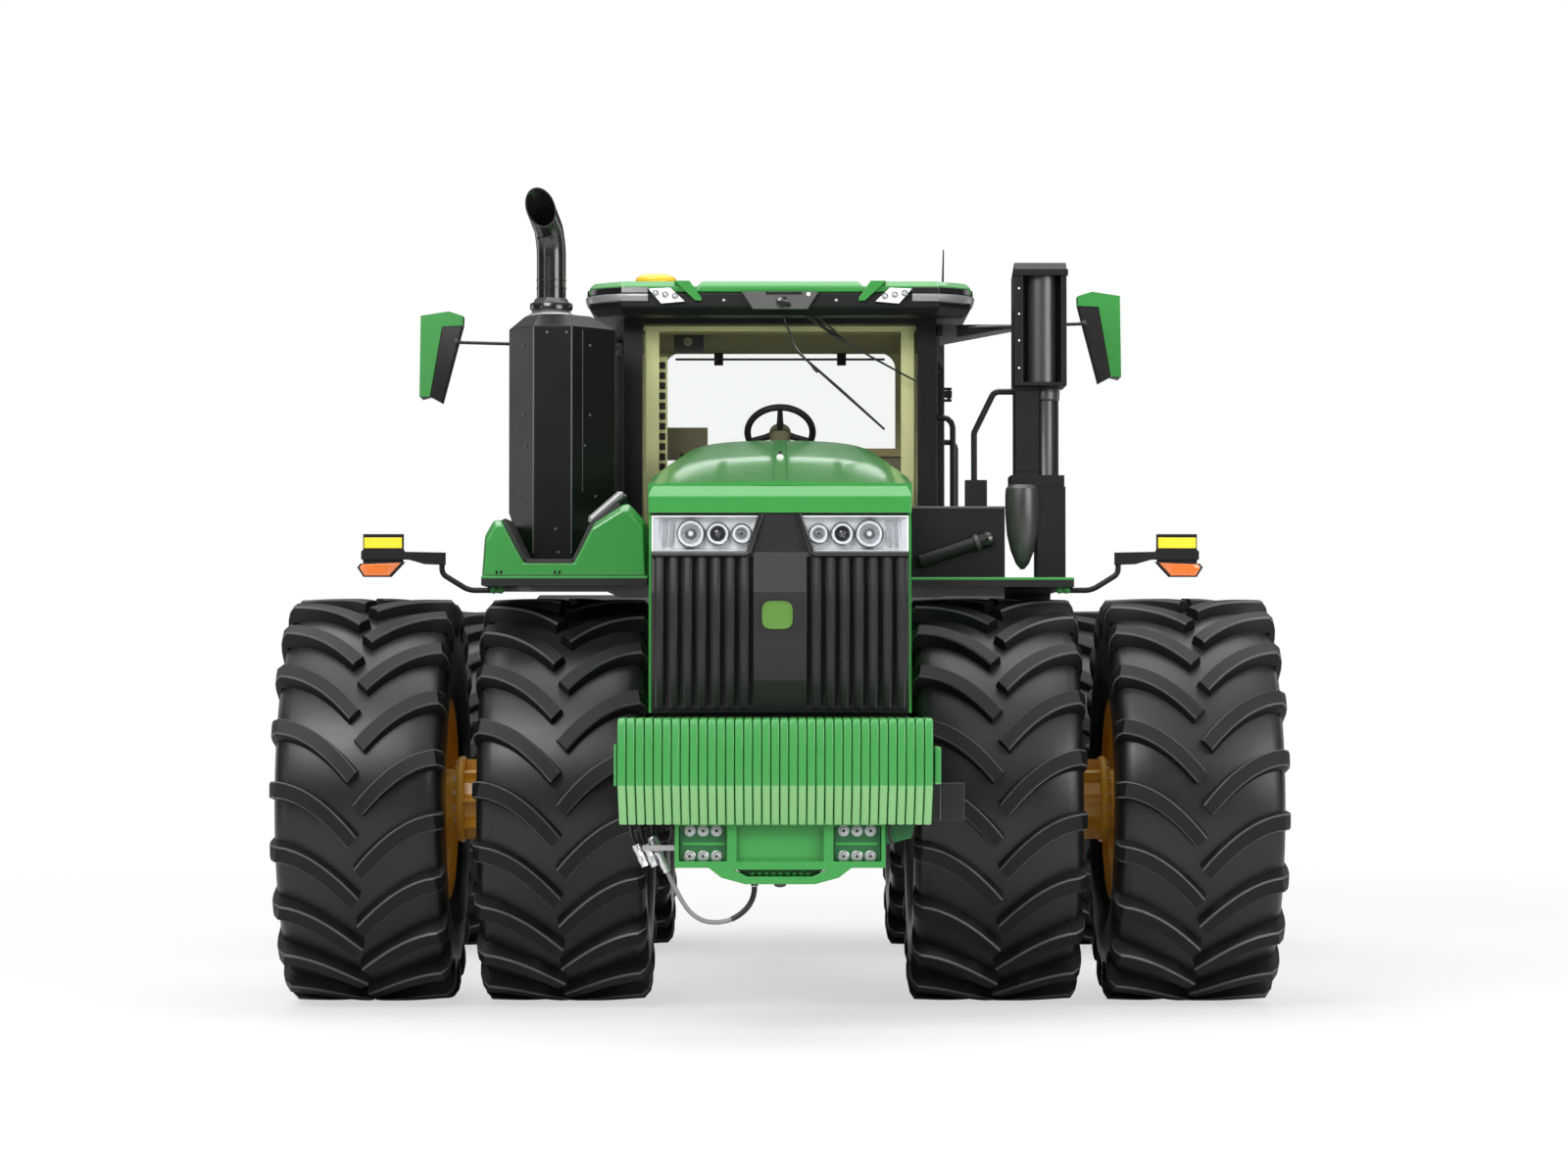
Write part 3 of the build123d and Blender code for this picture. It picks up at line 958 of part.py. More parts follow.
ROOF_FRONT = FRONT_AXLE + 450
ROOF_BACK = FRONT_AXLE + 2340
ROOF_RIM = 3704              # underside of the green roof
ROOF_SLANT = 180             # the roof's cut corners
roof_plan = [(-ROOF_HALF, ROOF_FRONT + 150), (-ROOF_HALF + ROOF_SLANT, ROOF_FRONT), (ROOF_HALF - ROOF_SLANT, ROOF_FRONT),
             (ROOF_HALF, ROOF_FRONT + 150), (ROOF_HALF, ROOF_BACK - 150), (ROOF_HALF - ROOF_SLANT, ROOF_BACK),
             (-ROOF_HALF + ROOF_SLANT, ROOF_BACK), (-ROOF_HALF, ROOF_BACK - 150)]
with BuildPart() as roof_base:
    plan_plate(roof_plan, CAB_TOP, ROOF_RIM)
    chamfer(roof_base.faces().sort_by(Axis.Z)[0].edges(), 40)
save(roof_base, "roof_base")

notch = (417, 458, 540)      # centreline to each roof notch's inner top, foot and outer top
with BuildPart() as cab_roof:
    plan_plate(roof_plan, ROOF_RIM, ROOF_TOP)
    chamfer(cab_roof.faces().sort_by(Axis.Z)[-1].edges(), 28)
    for side in BOTH:
        front_plate(mirrored([(notch[0], ROOF_TOP + 1), (notch[1], ROOF_RIM), (notch[2], ROOF_TOP + 1)], side),
                    ROOF_FRONT - 1, ROOF_FRONT + 260, mode=Mode.SUBTRACT)
save(cab_roof, "cab_roof")

WIPER_HOUSING = 205          # half the width of the housing over the windscreen
with BuildPart() as roof_lamps:
    for side in BOTH:
        front_plate(mirrored([(705, ROOF_RIM + 18), (580, ROOF_RIM + 24), (498, ROOF_RIM - 54), (632, ROOF_RIM - 66)], side),
                    ROOF_FRONT - 20, ROOF_FRONT)
    front_plate([(-WIPER_HOUSING, ROOF_RIM), (WIPER_HOUSING, ROOF_RIM), (WIPER_HOUSING - 60, ROOF_RIM - 95),
                 (-WIPER_HOUSING + 60, ROOF_RIM - 95)], ROOF_FRONT - 25, ROOF_FRONT)
save(roof_lamps, "roof_lamps")

SEAT_Y = FRONT_AXLE + 1640
SEAT_TOP = 2480
SEAT_BACK = 500
with BuildPart() as operator_seat:
    block((-150, 150), (SEAT_Y - 200, SEAT_Y + 120), (DECK_TOP, SEAT_TOP - 120))
    block((-260, 260), (SEAT_Y - 280, SEAT_Y + 200), (SEAT_TOP - 120, SEAT_TOP))
    side_plate([(SEAT_Y + 100, SEAT_TOP), (SEAT_Y + 220, SEAT_TOP), (SEAT_Y + 300, SEAT_TOP + SEAT_BACK),
                (SEAT_Y + 200, SEAT_TOP + SEAT_BACK)], -240, 240)
save(operator_seat, "operator_seat")

WHEEL_HUB = (0, FRONT_AXLE + 1060, 3010)
WHEEL_TILT = radians(28)
COLUMN_LENGTH = 480
column_foot = (0, WHEEL_HUB[1] - COLUMN_LENGTH * sin(WHEEL_TILT), WHEEL_HUB[2] - COLUMN_LENGTH * cos(WHEEL_TILT))
with BuildPart() as steering_column:
    block((-90, 90), (FRONT_AXLE + 790, FRONT_AXLE + 930), (DECK_TOP, column_foot[2] + 60))
    bar(column_foot, WHEEL_HUB, 42)
    with BuildSketch(Plane(origin=WHEEL_HUB, z_dir=(0, sin(WHEEL_TILT), cos(WHEEL_TILT)))) as wheel_disc:
        RegularPolygon(190, 20)
        RegularPolygon(160, 20, mode=Mode.SUBTRACT)
        Rectangle(330, 36)
        RegularPolygon(60, 20)
    extrude(wheel_disc.sketch, amount=26)
save(steering_column, "steering_column")

with BuildPart() as side_console:
    block((-560, -300), (SEAT_Y - 350, SEAT_Y + 250), (DECK_TOP, 2720))
    block((-520, -500), (SEAT_Y - 340, SEAT_Y - 300), (2720, 2900))
    block((-640, -400), (SEAT_Y - 360, SEAT_Y - 330), (2860, 3040))
save(side_console, "side_console")


# ------------------------------------------------------------------ outside fittings
MIRROR_Y = FRONT_AXLE + 700
MIRROR_DEPTH = 70
mirror_outline = [(0, -28), (75, 0), (228, -28), (232, -455), (220, -470), (115, -490)]   # X, Z from its inner top
mirror_table = ((1, 3576, 1593, 3726), (-1, 3476, 1697, 3620))     # side, Z of its arm, X and Z of its inner top
with BuildPart() as mirrors:
    for side, arm_z, mirror_in, mirror_top in mirror_table:
        front_plate([(side * (mirror_in + x), mirror_top + z) for x, z in mirror_outline],
                    MIRROR_Y - MIRROR_DEPTH, MIRROR_Y + MIRROR_DEPTH)
        foot_front, foot_back = CAB_FRONT + 10, CAB_FRONT + 70
        plan_plate(mirrored([(cab_side(foot_front), foot_front), (cab_side(foot_back), foot_back),
                             (cab_side(foot_back) + 24, foot_back), (cab_side(foot_front) + 24, foot_front)], side),
                   arm_z - 75, arm_z - 20)
        bar((side * (CAB_FRONT_HALF + 16), CAB_FRONT + 40, arm_z - 40), (side * (mirror_in + 40), MIRROR_Y, arm_z - 16),
            12, sides=8)
    root = cab_side(CAB_FRONT + 40) + 10
    front_plate([(root, CAB_TOP - 10), (root + 390, CAB_TOP - 2), (root + 390, CAB_TOP - 30), (root, CAB_TOP - 110)], CAB_FRONT + 25, CAB_FRONT + 50)
save(mirrors, "mirrors")

with BuildPart() as gps_receiver:
    turned_post((-670, FRONT_AXLE + 810), ((ROOF_TOP, 100), (ROOF_TOP + 25, 112), (ROOF_TOP + 60, 100), (ROOF_TOP + 72, 60)), 10)
save(gps_receiver, "gps_receiver")

RAIL_TUBE = 16
rail_y = CAB_FRONT + 40
rail_wall = cab_side(rail_y + RAIL_TUBE) + SEAT_GAP
grab_y = CAB_WIDEST + 150
grab_wall = CAB_WIDEST_HALF - rear_slope * (grab_y - RAIL_TUBE - CAB_WIDEST) + SEAT_GAP
with BuildPart() as handrails:
    bent_bar([(rail_wall, rail_y, 3060), (rail_wall + 84, rail_y, 3060), (rail_wall + 84, rail_y, DECK_TOP)], RAIL_TUBE, 55)
    bent_bar([(CAB_WIDEST_HALF, grab_y, DECK_TOP), (CAB_WIDEST_HALF, grab_y, 2260),
              (CAB_WIDEST_HALF + 70, grab_y, 2360), (CAB_WIDEST_HALF + 70, grab_y, 3000), (grab_wall, grab_y, 3000)],
             RAIL_TUBE, 40)
    block((963, 1075), (INTAKE_Y - 45, INTAKE_Y + 45), (BOX_TOP, BOX_TOP + 148))
    bent_bar([(1010, INTAKE_Y, BOX_TOP + 148), (1010, INTAKE_Y, 2935), (1115, INTAKE_Y, HEAD_BOTTOM - 20),
              (INTAKE[0] + 5 - SEAT_GAP, INTAKE_Y, HEAD_BOTTOM - 20)], RAIL_TUBE, 40)
save(handrails, "handrails")

STEP_YS = (FRONT_AXLE + 1180, FRONT_AXLE + 1720)
STRINGER = 18
with BuildPart() as steps:
    for stringer_y in STEP_YS:
        front_plate([(1200, 520), (1420, 520), (1485, DECK_BOTTOM), (1265, DECK_BOTTOM)], stringer_y,
                    stringer_y + STRINGER)
    for tread in range(5):
        z = 530 + tread * 310
        lean = (z - 520) * 65 / (DECK_BOTTOM - 520)
        block((1205 + lean, 1415 + lean), (STEP_YS[0] + 9, STEP_YS[1] + 9), (z, z + 35))
save(steps, "steps")

MARKER_Y = FRONT_AXLE - 300
MARKER_ROD = 14
marker_post = DECK_EDGE + 231
with BuildPart() as marker_arms:
    for side in BOTH:
        rod_z = DECK_BOTTOM - MARKER_ROD
        block((side * (DECK_EDGE - 90), side * (DECK_EDGE - 20)), (MARKER_Y - 30, MARKER_Y + 30),
              (DECK_BOTTOM - 2 * MARKER_ROD - 8, DECK_BOTTOM))
        bent_bar([(side * (DECK_EDGE - 60), MARKER_Y, rod_z), (side * (DECK_EDGE + 95), MARKER_Y, rod_z),
                  (side * marker_post, MARKER_Y, 2190), (side * marker_post, MARKER_Y, 2245)], MARKER_ROD, 35)
        outline = [(marker_post - 20, 2300), (marker_post - 20, 2233), (marker_post + 90, 2237), (marker_post + 170, 2195),
                   (marker_post + 260, 2168), (marker_post + 395, 2168), (marker_post + 430, 2228),
                   (marker_post + 420, 2246), (marker_post + 300, 2262), (marker_post + 180, 2300)]
        front_plate(mirrored(outline, side), MARKER_Y - 25, MARKER_Y + 25)
        block((side * (marker_post + 180), side * (marker_post + 402)), (MARKER_Y - 12, MARKER_Y + 12), (2262, 2396))
save(marker_arms, "marker_arms")
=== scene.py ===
"""Looks of an articulated farm tractor on dual wheels, around its CAD model. Metres, front towards -Y."""
import math

import bmesh
import bpy
import numpy as np
from mathutils import Matrix, Vector


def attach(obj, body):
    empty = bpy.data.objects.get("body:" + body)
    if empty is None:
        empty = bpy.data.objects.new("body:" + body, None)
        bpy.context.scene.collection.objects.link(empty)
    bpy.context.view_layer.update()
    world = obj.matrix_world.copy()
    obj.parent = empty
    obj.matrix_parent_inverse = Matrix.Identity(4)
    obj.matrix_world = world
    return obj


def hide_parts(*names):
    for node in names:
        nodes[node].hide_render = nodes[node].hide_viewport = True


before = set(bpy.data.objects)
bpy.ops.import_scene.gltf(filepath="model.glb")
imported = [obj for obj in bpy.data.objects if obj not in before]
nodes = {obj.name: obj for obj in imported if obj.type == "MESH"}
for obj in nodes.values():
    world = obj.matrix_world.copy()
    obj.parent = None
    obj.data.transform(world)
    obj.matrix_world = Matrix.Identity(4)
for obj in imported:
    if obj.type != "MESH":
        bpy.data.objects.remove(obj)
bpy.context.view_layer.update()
scene = bpy.context.scene


def put(name, data, place=(0, 0, 0)):
    """A new object in the scene."""
    obj = bpy.data.objects.new(name, data)
    obj.location = place
    scene.collection.objects.link(obj)
    return obj


# ------------------------------------------------------------------ camera
FY = -1.581                  # front axle
REAR_AXLE = 2.331
BOTH = (1, -1)               # left, right
CAMERA_BACK = 19.2           # camera to the front axle
CAMERA_HEIGHT = 1.684
LENS_MM, SENSOR_MM = 85.275, 36
LOOK_UP, LOOK_LEFT = math.radians(1.315), math.radians(-0.06047)

camera_data = bpy.data.cameras.new("camera")
camera = put("camera", camera_data, (0, FY - CAMERA_BACK, CAMERA_HEIGHT))
camera_data.sensor_width = SENSOR_MM
camera_data.lens = LENS_MM
camera_data.clip_end = 200
camera.rotation_euler = (math.pi / 2 + LOOK_UP, 0, LOOK_LEFT)
scene.camera = camera
scene.view_settings.view_transform = "Standard"


# ------------------------------------------------------------------ shader nodes
def blank_tree(owner):
    owner.use_nodes = True
    owner.node_tree.nodes.clear()
    return owner.node_tree


def add_node(tree, kind, inputs=(), **settings):
    """A new node; inputs gives sockets, by name or number, a value or the socket that feeds them."""
    new = tree.nodes.new(kind)
    for setting, value in settings.items():
        setattr(new, setting, value)
    for socket, value in dict(inputs).items():
        if isinstance(value, bpy.types.NodeSocket):
            tree.links.new(value, new.inputs[socket])
        else:
            new.inputs[socket].default_value = value
    return new


def blend(tree, share, first, second):
    """The socket of a colour between two, each a socket or a red, green, blue and alpha."""
    return add_node(tree, "ShaderNodeMix", {0: share, 6: first, 7: second}, data_type="RGBA").outputs[2]


def math_node(tree, operation, *values):
    return add_node(tree, "ShaderNodeMath", dict(enumerate(values)), operation=operation).outputs[0]


def facing_share(tree, start, end, most=1):
    """Grows from 0 to most as the Z of a face's normal goes from start to end."""
    normal = add_node(tree, "ShaderNodeNewGeometry").outputs["Normal"]
    upwards = add_node(tree, "ShaderNodeSeparateXYZ", {0: normal}).outputs["Z"]
    return add_node(tree, "ShaderNodeMapRange",
                    {"Value": upwards, "From Min": start, "From Max": end, "To Max": most}).outputs[0]


def seen_directly(tree):
    """1 for rays from the camera and through glass, 0 for light on the object."""
    rays = add_node(tree, "ShaderNodeLightPath").outputs
    return math_node(tree, "MAXIMUM", rays["Is Camera Ray"], rays["Is Transmission Ray"])


# ------------------------------------------------------------------ light
AMBIENT = 0.55               # light from all round
SKY_LOW, SKY_HIGH = 0.05, 1.0     # what gloss shows near eye level, and overhead
SKY_RISE = (0.2, 0.85)      # Z of the directions between which it grows
WHITE = (1, 1, 1, 1)
world = bpy.data.worlds.new("studio")
scene.world = world
tree = blank_tree(world)
ambient = add_node(tree, "ShaderNodeBackground", {"Strength": AMBIENT})
white = add_node(tree, "ShaderNodeBackground", {"Color": WHITE, "Strength": 1})
direction = add_node(tree, "ShaderNodeTexCoord").outputs["Generated"]
climb = add_node(tree, "ShaderNodeMapRange", {
    "Value": add_node(tree, "ShaderNodeSeparateXYZ", {0: direction}).outputs["Z"], "From Min": SKY_RISE[0],
    "From Max": SKY_RISE[1], "To Min": SKY_LOW, "To Max": SKY_HIGH}, interpolation_type="SMOOTHSTEP")
studio = add_node(tree, "ShaderNodeBackground", {"Color": WHITE, "Strength": climb.outputs[0]})
is_gloss = add_node(tree, "ShaderNodeLightPath").outputs["Is Glossy Ray"]
lit = add_node(tree, "ShaderNodeMixShader", {0: is_gloss, 1: ambient.outputs[0], 2: studio.outputs[0]})
choose = add_node(tree, "ShaderNodeMixShader",
                  {0: seen_directly(tree), 1: lit.outputs[0], 2: white.outputs[0]})
add_node(tree, "ShaderNodeOutputWorld", {0: choose.outputs[0]})


def area_lamp(name, place, aim, size, power):
    data = bpy.data.lights.new(name, "AREA")
    data.shape = "RECTANGLE"
    data.size, data.size_y = size
    data.energy = power
    lamp = put(name, data, place)
    lamp.rotation_mode = "QUATERNION"
    lamp.rotation_quaternion = (Vector(aim) - Vector(place)).to_track_quat("-Z", "Y")
    return lamp


area_lamp("key", (-5, -12, 9), (0, 0, 1.5), (7, 5), 1180)
area_lamp("fill", (8, -10, 5), (0, 0, 1.5), (6, 5), 620)
area_lamp("top", (0, 0, 11), (0, 0, 0), (10, 12), 900)
rim = area_lamp("rim", (-4, 10, 9), (0, 0, 2), (8, 4), 400)
rim.visible_glossy = False
for side in BOTH:            # soft boxes that the hood's front slope reflects, and strips at both sides
    for name, place, aim, size, power in (
        ("softbox", (side * 0.57, FY + 10.6, 5.67), (side * 0.2, FY - 1.4, 2.65), (0.95, 0.7), 5),
        ("strip_back", (side * 10, 4.5, 3.2), (0, -1, 2), (4, 6), 110),
        ("strip_front", (side * 11, -9, 3.2), (0, -1, 2), (1.6, 6), 90)):
        area_lamp(f"{name}_{side}", place, aim, size, power).visible_camera = False

# ------------------------------------------------------------------ materials
COAT_ROUGH = 0.08
ROUGH_SPREAD = 0.08          # unevenness of the gloss, either way
GRAIN_DEPTH = 0.002
DUST_FACING = (0.2, 1.0)     # Z of the normals between which dust sets in
BOUNCE_FACING = (-0.35, -0.62)     # and the lighter colour on faces turned down, painted light for the floor's bounce


def principled(name, colour, rough, spec=0.5, coat=0.0, metal=0.0, mottle=0.08, mottle_scale=3.0, grain=0.0,
               grain_scale=300.0, dust=None, dust_amount=0.0, painted_bounce=None, patch=None, patch_colour=None):
    """A painted, moulded or cast surface: colour mottling, uneven gloss, a fine grain and dust on top faces.

    The colour for faces turned down is painted light, a lighter colour for light the floor bounces up; patch
    gives the ranges of X, Y and Z that take patch_colour."""
    if not isinstance(colour, tuple):
        colour = (colour,) * 3
    mat = bpy.data.materials.new(name)
    mat.use_nodes = True
    tree = mat.node_tree
    shader = tree.nodes["Principled BSDF"].inputs
    for socket, value in (("Metallic", metal), ("Coat Weight", coat), ("Coat Roughness", COAT_ROUGH),
                          ("Specular IOR Level", spec)):
        shader[socket].default_value = value
    spot = add_node(tree, "ShaderNodeTexCoord").outputs["Object"]
    noise = add_node(tree, "ShaderNodeTexNoise",
                     {"Vector": spot, "Scale": mottle_scale, "Detail": 5, "Roughness": 0.6})
    broad = noise.outputs["Fac"]
    mixed = blend(tree, broad, [c * (1 - mottle) for c in colour] + [1],
                  [min(1, c * (1 + mottle)) for c in colour] + [1])
    if dust:
        dusty = math_node(tree, "MULTIPLY", facing_share(tree, *DUST_FACING, dust_amount), broad)
        mixed = blend(tree, dusty, mixed, (*dust, 1))
    # painted light: faces turned down take a lighter colour for light bounced up from the floor
    if painted_bounce:
        mixed = blend(tree, facing_share(tree, *BOUNCE_FACING), mixed, (*painted_bounce, 1))
    if patch:
        axes = add_node(tree, "ShaderNodeSeparateXYZ", {0: spot}).outputs
        tests = [math_node(tree, test, axes[axis], limit) for axis, limits in zip("XYZ", patch)
                 for limit, test in zip(limits or (), ("GREATER_THAN", "LESS_THAN"))]
        inside = tests[0]
        for test in tests[1:]:
            inside = math_node(tree, "MULTIPLY", inside, test)
        mixed = blend(tree, inside, mixed, (*patch_colour, 1))
    tree.links.new(mixed, shader["Base Color"])
    gloss = add_node(tree, "ShaderNodeMapRange", {"Value": broad, "To Min": max(0.02, rough - ROUGH_SPREAD),
                                                  "To Max": min(1, rough + ROUGH_SPREAD)})
    tree.links.new(gloss.outputs[0], shader["Roughness"])
    if grain:
        fine = add_node(tree, "ShaderNodeTexNoise", {"Vector": spot, "Scale": grain_scale, "Detail": 2})
        bump = add_node(tree, "ShaderNodeBump",
                        {"Height": fine.outputs["Fac"], "Strength": grain, "Distance": GRAIN_DEPTH})
        tree.links.new(bump.outputs[0], shader["Normal"])
    return mat


GREEN = (0.034, 0.25, 0.045)
DARK_GREEN = (0.034, 0.262, 0.05)
BLACK = (0.009, 0.009, 0.009)
MATERIALS = (                # look, name, colour, rough, spec, coat, metal, mottle, its scale, grain, scale
    ("green", "green_paint", GREEN, 0.3, 0.5, 0.5, 0, 0.04, 1.5, 0.02, 900),
    ("weight", "weight_paint", (0.04, 0.262, 0.055), 0.36, 0.5, 0.25, 0, 0.07, 6, 0.12, 220),
    ("weight_gap", "weight_gap_shadow", (0.012, 0.07, 0.016), 0.7, 0.5, 0, 0, 0.08, 3, 0.1, 300),
    # a darker copy of the green for the bracket's recesses and the plates behind its parts: painted shade
    ("deep_green", "recess_green", (0.01, 0.115, 0.03), 0.45, 0.5, 0, 0, 0.08, 3, 0.1, 220),
    ("yellow", "yellow_paint", (0.86, 0.5, 0.055), 0.36, 0.5, 0.3, 0, 0.09, 3, 0.04, 300),
    ("black", "black_paint", 0.007, 0.36, 0.35, 0, 0, 0.2, 3, 0.04, 300),
    ("pipe_black", "glossy_black", 0.007, 0.26, 0.5, 0.6, 0, 0.2, 9, 0.03, 300),
    ("box_black", "heat_shield_black", 0.004, 0.36, 0.22, 0, 0, 0.15, 3, 0.1, 500),
    ("plastic", "black_plastic", 0.007, 0.42, 0.25, 0, 0, 0.12, 3, 0.12, 1200),
    ("satin", "satin_black", (0.03, 0.03, 0.029), 0.34, 0.7, 0, 0, 0.2, 9, 0.08, 700),
    ("grille", "grille_plastic", 0.013, 0.38, 0.45, 0, 0, 0.1, 3, 0.1, 900),
    ("dark_trim", "dark_trim", (0.014, 0.0135, 0.012), 0.6, 0.35, 0, 0, 0.15, 3, 0.2, 800),
    # grey for trims, bolts and rivets, and for thin strips that are painted edge highlights
    ("trim_grey", "grey_trim", (0.085, 0.085, 0.083), 0.38, 0.45, 0, 0, 0.1, 3, 0.1, 700),
    ("edge_grey", "edge_trim", (0.035, 0.035, 0.034), 0.35, 0.5, 0, 0, 0.1, 3, 0.1, 700),
    # silver for the roof lamps' brows, and a painted highlight on the duct beside the exhaust box
    ("brow", "silver_trim", 0.3, 0.34, 0.5, 0, 0.35, 0.1, 3, 0.05, 700),
    ("rubber", "lug_rubber", 0.005, 0.5, 0.25, 0, 0, 0.3, 9, 0.3, 350),
    # lighter rubber on the lugs' edge chamfers: a painted highlight
    ("rubber_edge", "worn_edge_rubber", 0.085, 0.5, 0.5, 0, 0, 0.4, 14, 0.3, 350),
    ("carcass", "casing_rubber", (0.007, 0.007, 0.0072), 0.36, 0.45, 0, 0, 0.35, 5, 0.2, 300),
    ("hose", "hose_rubber", 0.2, 0.42, 0.5, 0, 0, 0.15, 3, 0.1, 500),
    ("sleeve", "hose_sleeve", 0.01, 0.45, 0.5, 0, 0, 0.15, 3, 0.1, 500),
    ("steel", "bright_steel", (0.62, 0.62, 0.63), 0.3, 0.5, 0, 0.85, 0.1, 3, 0.05, 300),
    ("dull_steel", "dull_steel", 0.38, 0.42, 0.5, 0, 1, 0.15, 12, 0.08, 500),
    ("cast", "dark_metal", 0.03, 0.6, 0.4, 0, 0, 0.2, 3, 0.3, 300),
    ("chrome", "bright_reflector", (0.93, 0.935, 0.94), 0.25, 0.5, 0.6, 0, 0.06, 30, 0, 300),
    ("reflector_bowl", "lamp_bowl", (0.5, 0.51, 0.52), 0.22, 0.5, 0, 0.2, 0.35, 60, 0, 300),
    ("lens", "lamp_lens", (0.055, 0.055, 0.058), 0.12, 0.8, 1, 0, 0.5, 60, 0, 300),
    ("lens_ring", "lamp_ring", 0.16, 0.2, 0.5, 0, 0.3, 0.3, 60, 0, 300),
    ("white", "white_plastic", (0.75, 0.75, 0.73), 0.4, 0.5, 0, 0, 0.04, 3, 0.03, 300),
    ("olive", "olive_trim", (0.66, 0.64, 0.33), 0.65, 0.3, 0, 0, 0.08, 3, 0.2, 700),
    ("headliner", "headliner_cloth", (0.24, 0.205, 0.1), 0.9, 0.2, 0, 0, 0.15, 3, 0.4, 1500),
    ("interior", "interior_trim", (0.13, 0.12, 0.07), 0.7, 0.3, 0, 0, 0.08, 3, 0.2, 700),
    ("seat", "seat_fabric", (0.022, 0.022, 0.02), 0.95, 0.2, 0, 0, 0.2, 30, 0.6, 1600),
    ("screen", "dark_display", (0.008, 0.009, 0.012), 0.08, 0.5, 1, 0, 0.1, 3, 0, 300),
    ("amber", "amber_lens", (0.72, 0.17, 0.03), 0.18, 0.5, 0.8, 0, 0.06, 25, 0, 300),
    ("red", "red_lens", (0.45, 0.015, 0.012), 0.18, 0.5, 0.8, 0, 0.06, 25, 0, 300),
    ("reflector", "yellow_reflector", (0.93, 0.68, 0.03), 0.3, 0.5, 0.5, 0, 0.04, 60, 0, 300),
    ("receiver", "yellow_plastic", (0.82, 0.5, 0.02), 0.35, 0.5, 0.2, 0, 0.04, 3, 0.04, 300),
    ("plate", "blank_plate_plastic", (0.1, 0.22, 0.04), 0.3, 0.5, 0.3, 0, 0.08, 3, 0.03, 300),
    ("mirror_glass", "mirror_glass", (0.85, 0.87, 0.88), 0.03, 0.5, 0, 1, 0.01, 3, 0, 300),
    ("bracket_plain", "bracket_rib_paint", DARK_GREEN, 0.36, 0.5, 0.25, 0, 0.08, 3, 0.12, 220),
    # a lighter copy of the bracket's green for its front panel and balls: painted light
    ("bracket_light", "bracket_panel_paint", (0.038, 0.28, 0.055), 0.36, 0.5, 0.25, 0, 0.08, 3, 0.12, 220),
)
MORE = {                     # painted floor bounce on faces turned down, and dust on top faces
    # the weights' lighter underside is painted floor bounce
    "weight": dict(painted_bounce=(0.235, 0.53, 0.2)),
    "rubber": dict(dust=(0.045, 0.043, 0.04), dust_amount=0.25),
    "carcass": dict(dust=(0.09, 0.088, 0.085), dust_amount=0.3),
}
mats = {look: principled(*settings, **MORE.get(look, {})) for look, *settings in MATERIALS}


def mesh_material():
    """A woven wire screen, dark between its wires."""
    mat = principled("wire_screen", 0.03, 0.5, 0.4)
    tree = mat.node_tree
    spot = add_node(tree, "ShaderNodeTexCoord").outputs["Object"]
    axes = add_node(tree, "ShaderNodeSeparateXYZ", {0: spot}).outputs
    waves = [math_node(tree, "SINE", math_node(tree, "MULTIPLY", axes[axis], WIRES)) for axis in "XZ"]
    wires = blend(tree, math_node(tree, "MAXIMUM", *waves), (0.004, 0.004, 0.004, 1),
                  (0.035, 0.035, 0.034, 1))
    tree.links.new(wires, tree.nodes["Principled BSDF"].inputs["Base Color"])
    return mat


def glass_material(name, tint):
    mat = bpy.data.materials.new(name)
    tree = blank_tree(mat)
    clear = add_node(tree, "ShaderNodeBsdfTransparent", {"Color": (*tint, 1)})
    gloss = add_node(tree, "ShaderNodeBsdfGlossy", {"Roughness": PANE_ROUGH})
    edge = add_node(tree, "ShaderNodeFresnel", {"IOR": PANE_IOR})
    mix = add_node(tree, "ShaderNodeMixShader",
                   {0: edge.outputs[0], 1: clear.outputs[0], 2: gloss.outputs[0]})
    add_node(tree, "ShaderNodeOutputMaterial", {0: mix.outputs[0]})
    return mat


PANE_ROUGH, PANE_IOR = 0.03, 1.25
WIRES = 620                  # radians of the screen's wave a metre
DECK_EDGE = 2.157            # Z below which the deck is black
BRACKET_BLACK = (0.485, 1.003)    # X and Z past which the weight bracket is black
deck_z = nodes["cab_deck"].matrix_world.translation.z
bracket_at = nodes["weight_bracket"].matrix_world.translation
mats["mesh"] = mesh_material()
mats["deck"] = principled("deck_edge_paint", GREEN, 0.34, coat=0.3,
                          patch=(None, None, (-10, DECK_EDGE - deck_z)), patch_colour=BLACK)
mats["bracket"] = principled(
    "bracket_paint", DARK_GREEN, 0.36, coat=0.25, mottle=0.07, mottle_scale=6, grain=0.12, grain_scale=220,
    patch=((BRACKET_BLACK[0] - bracket_at.x, 2), None, (BRACKET_BLACK[1] - bracket_at.z, 1.2)),
    patch_colour=BLACK)
mats["glass"] = glass_material("cab_glass_pane", (0.985, 0.992, 0.985))
mats["lamp_glass"] = glass_material("lamp_cover", (0.96, 0.97, 0.98))

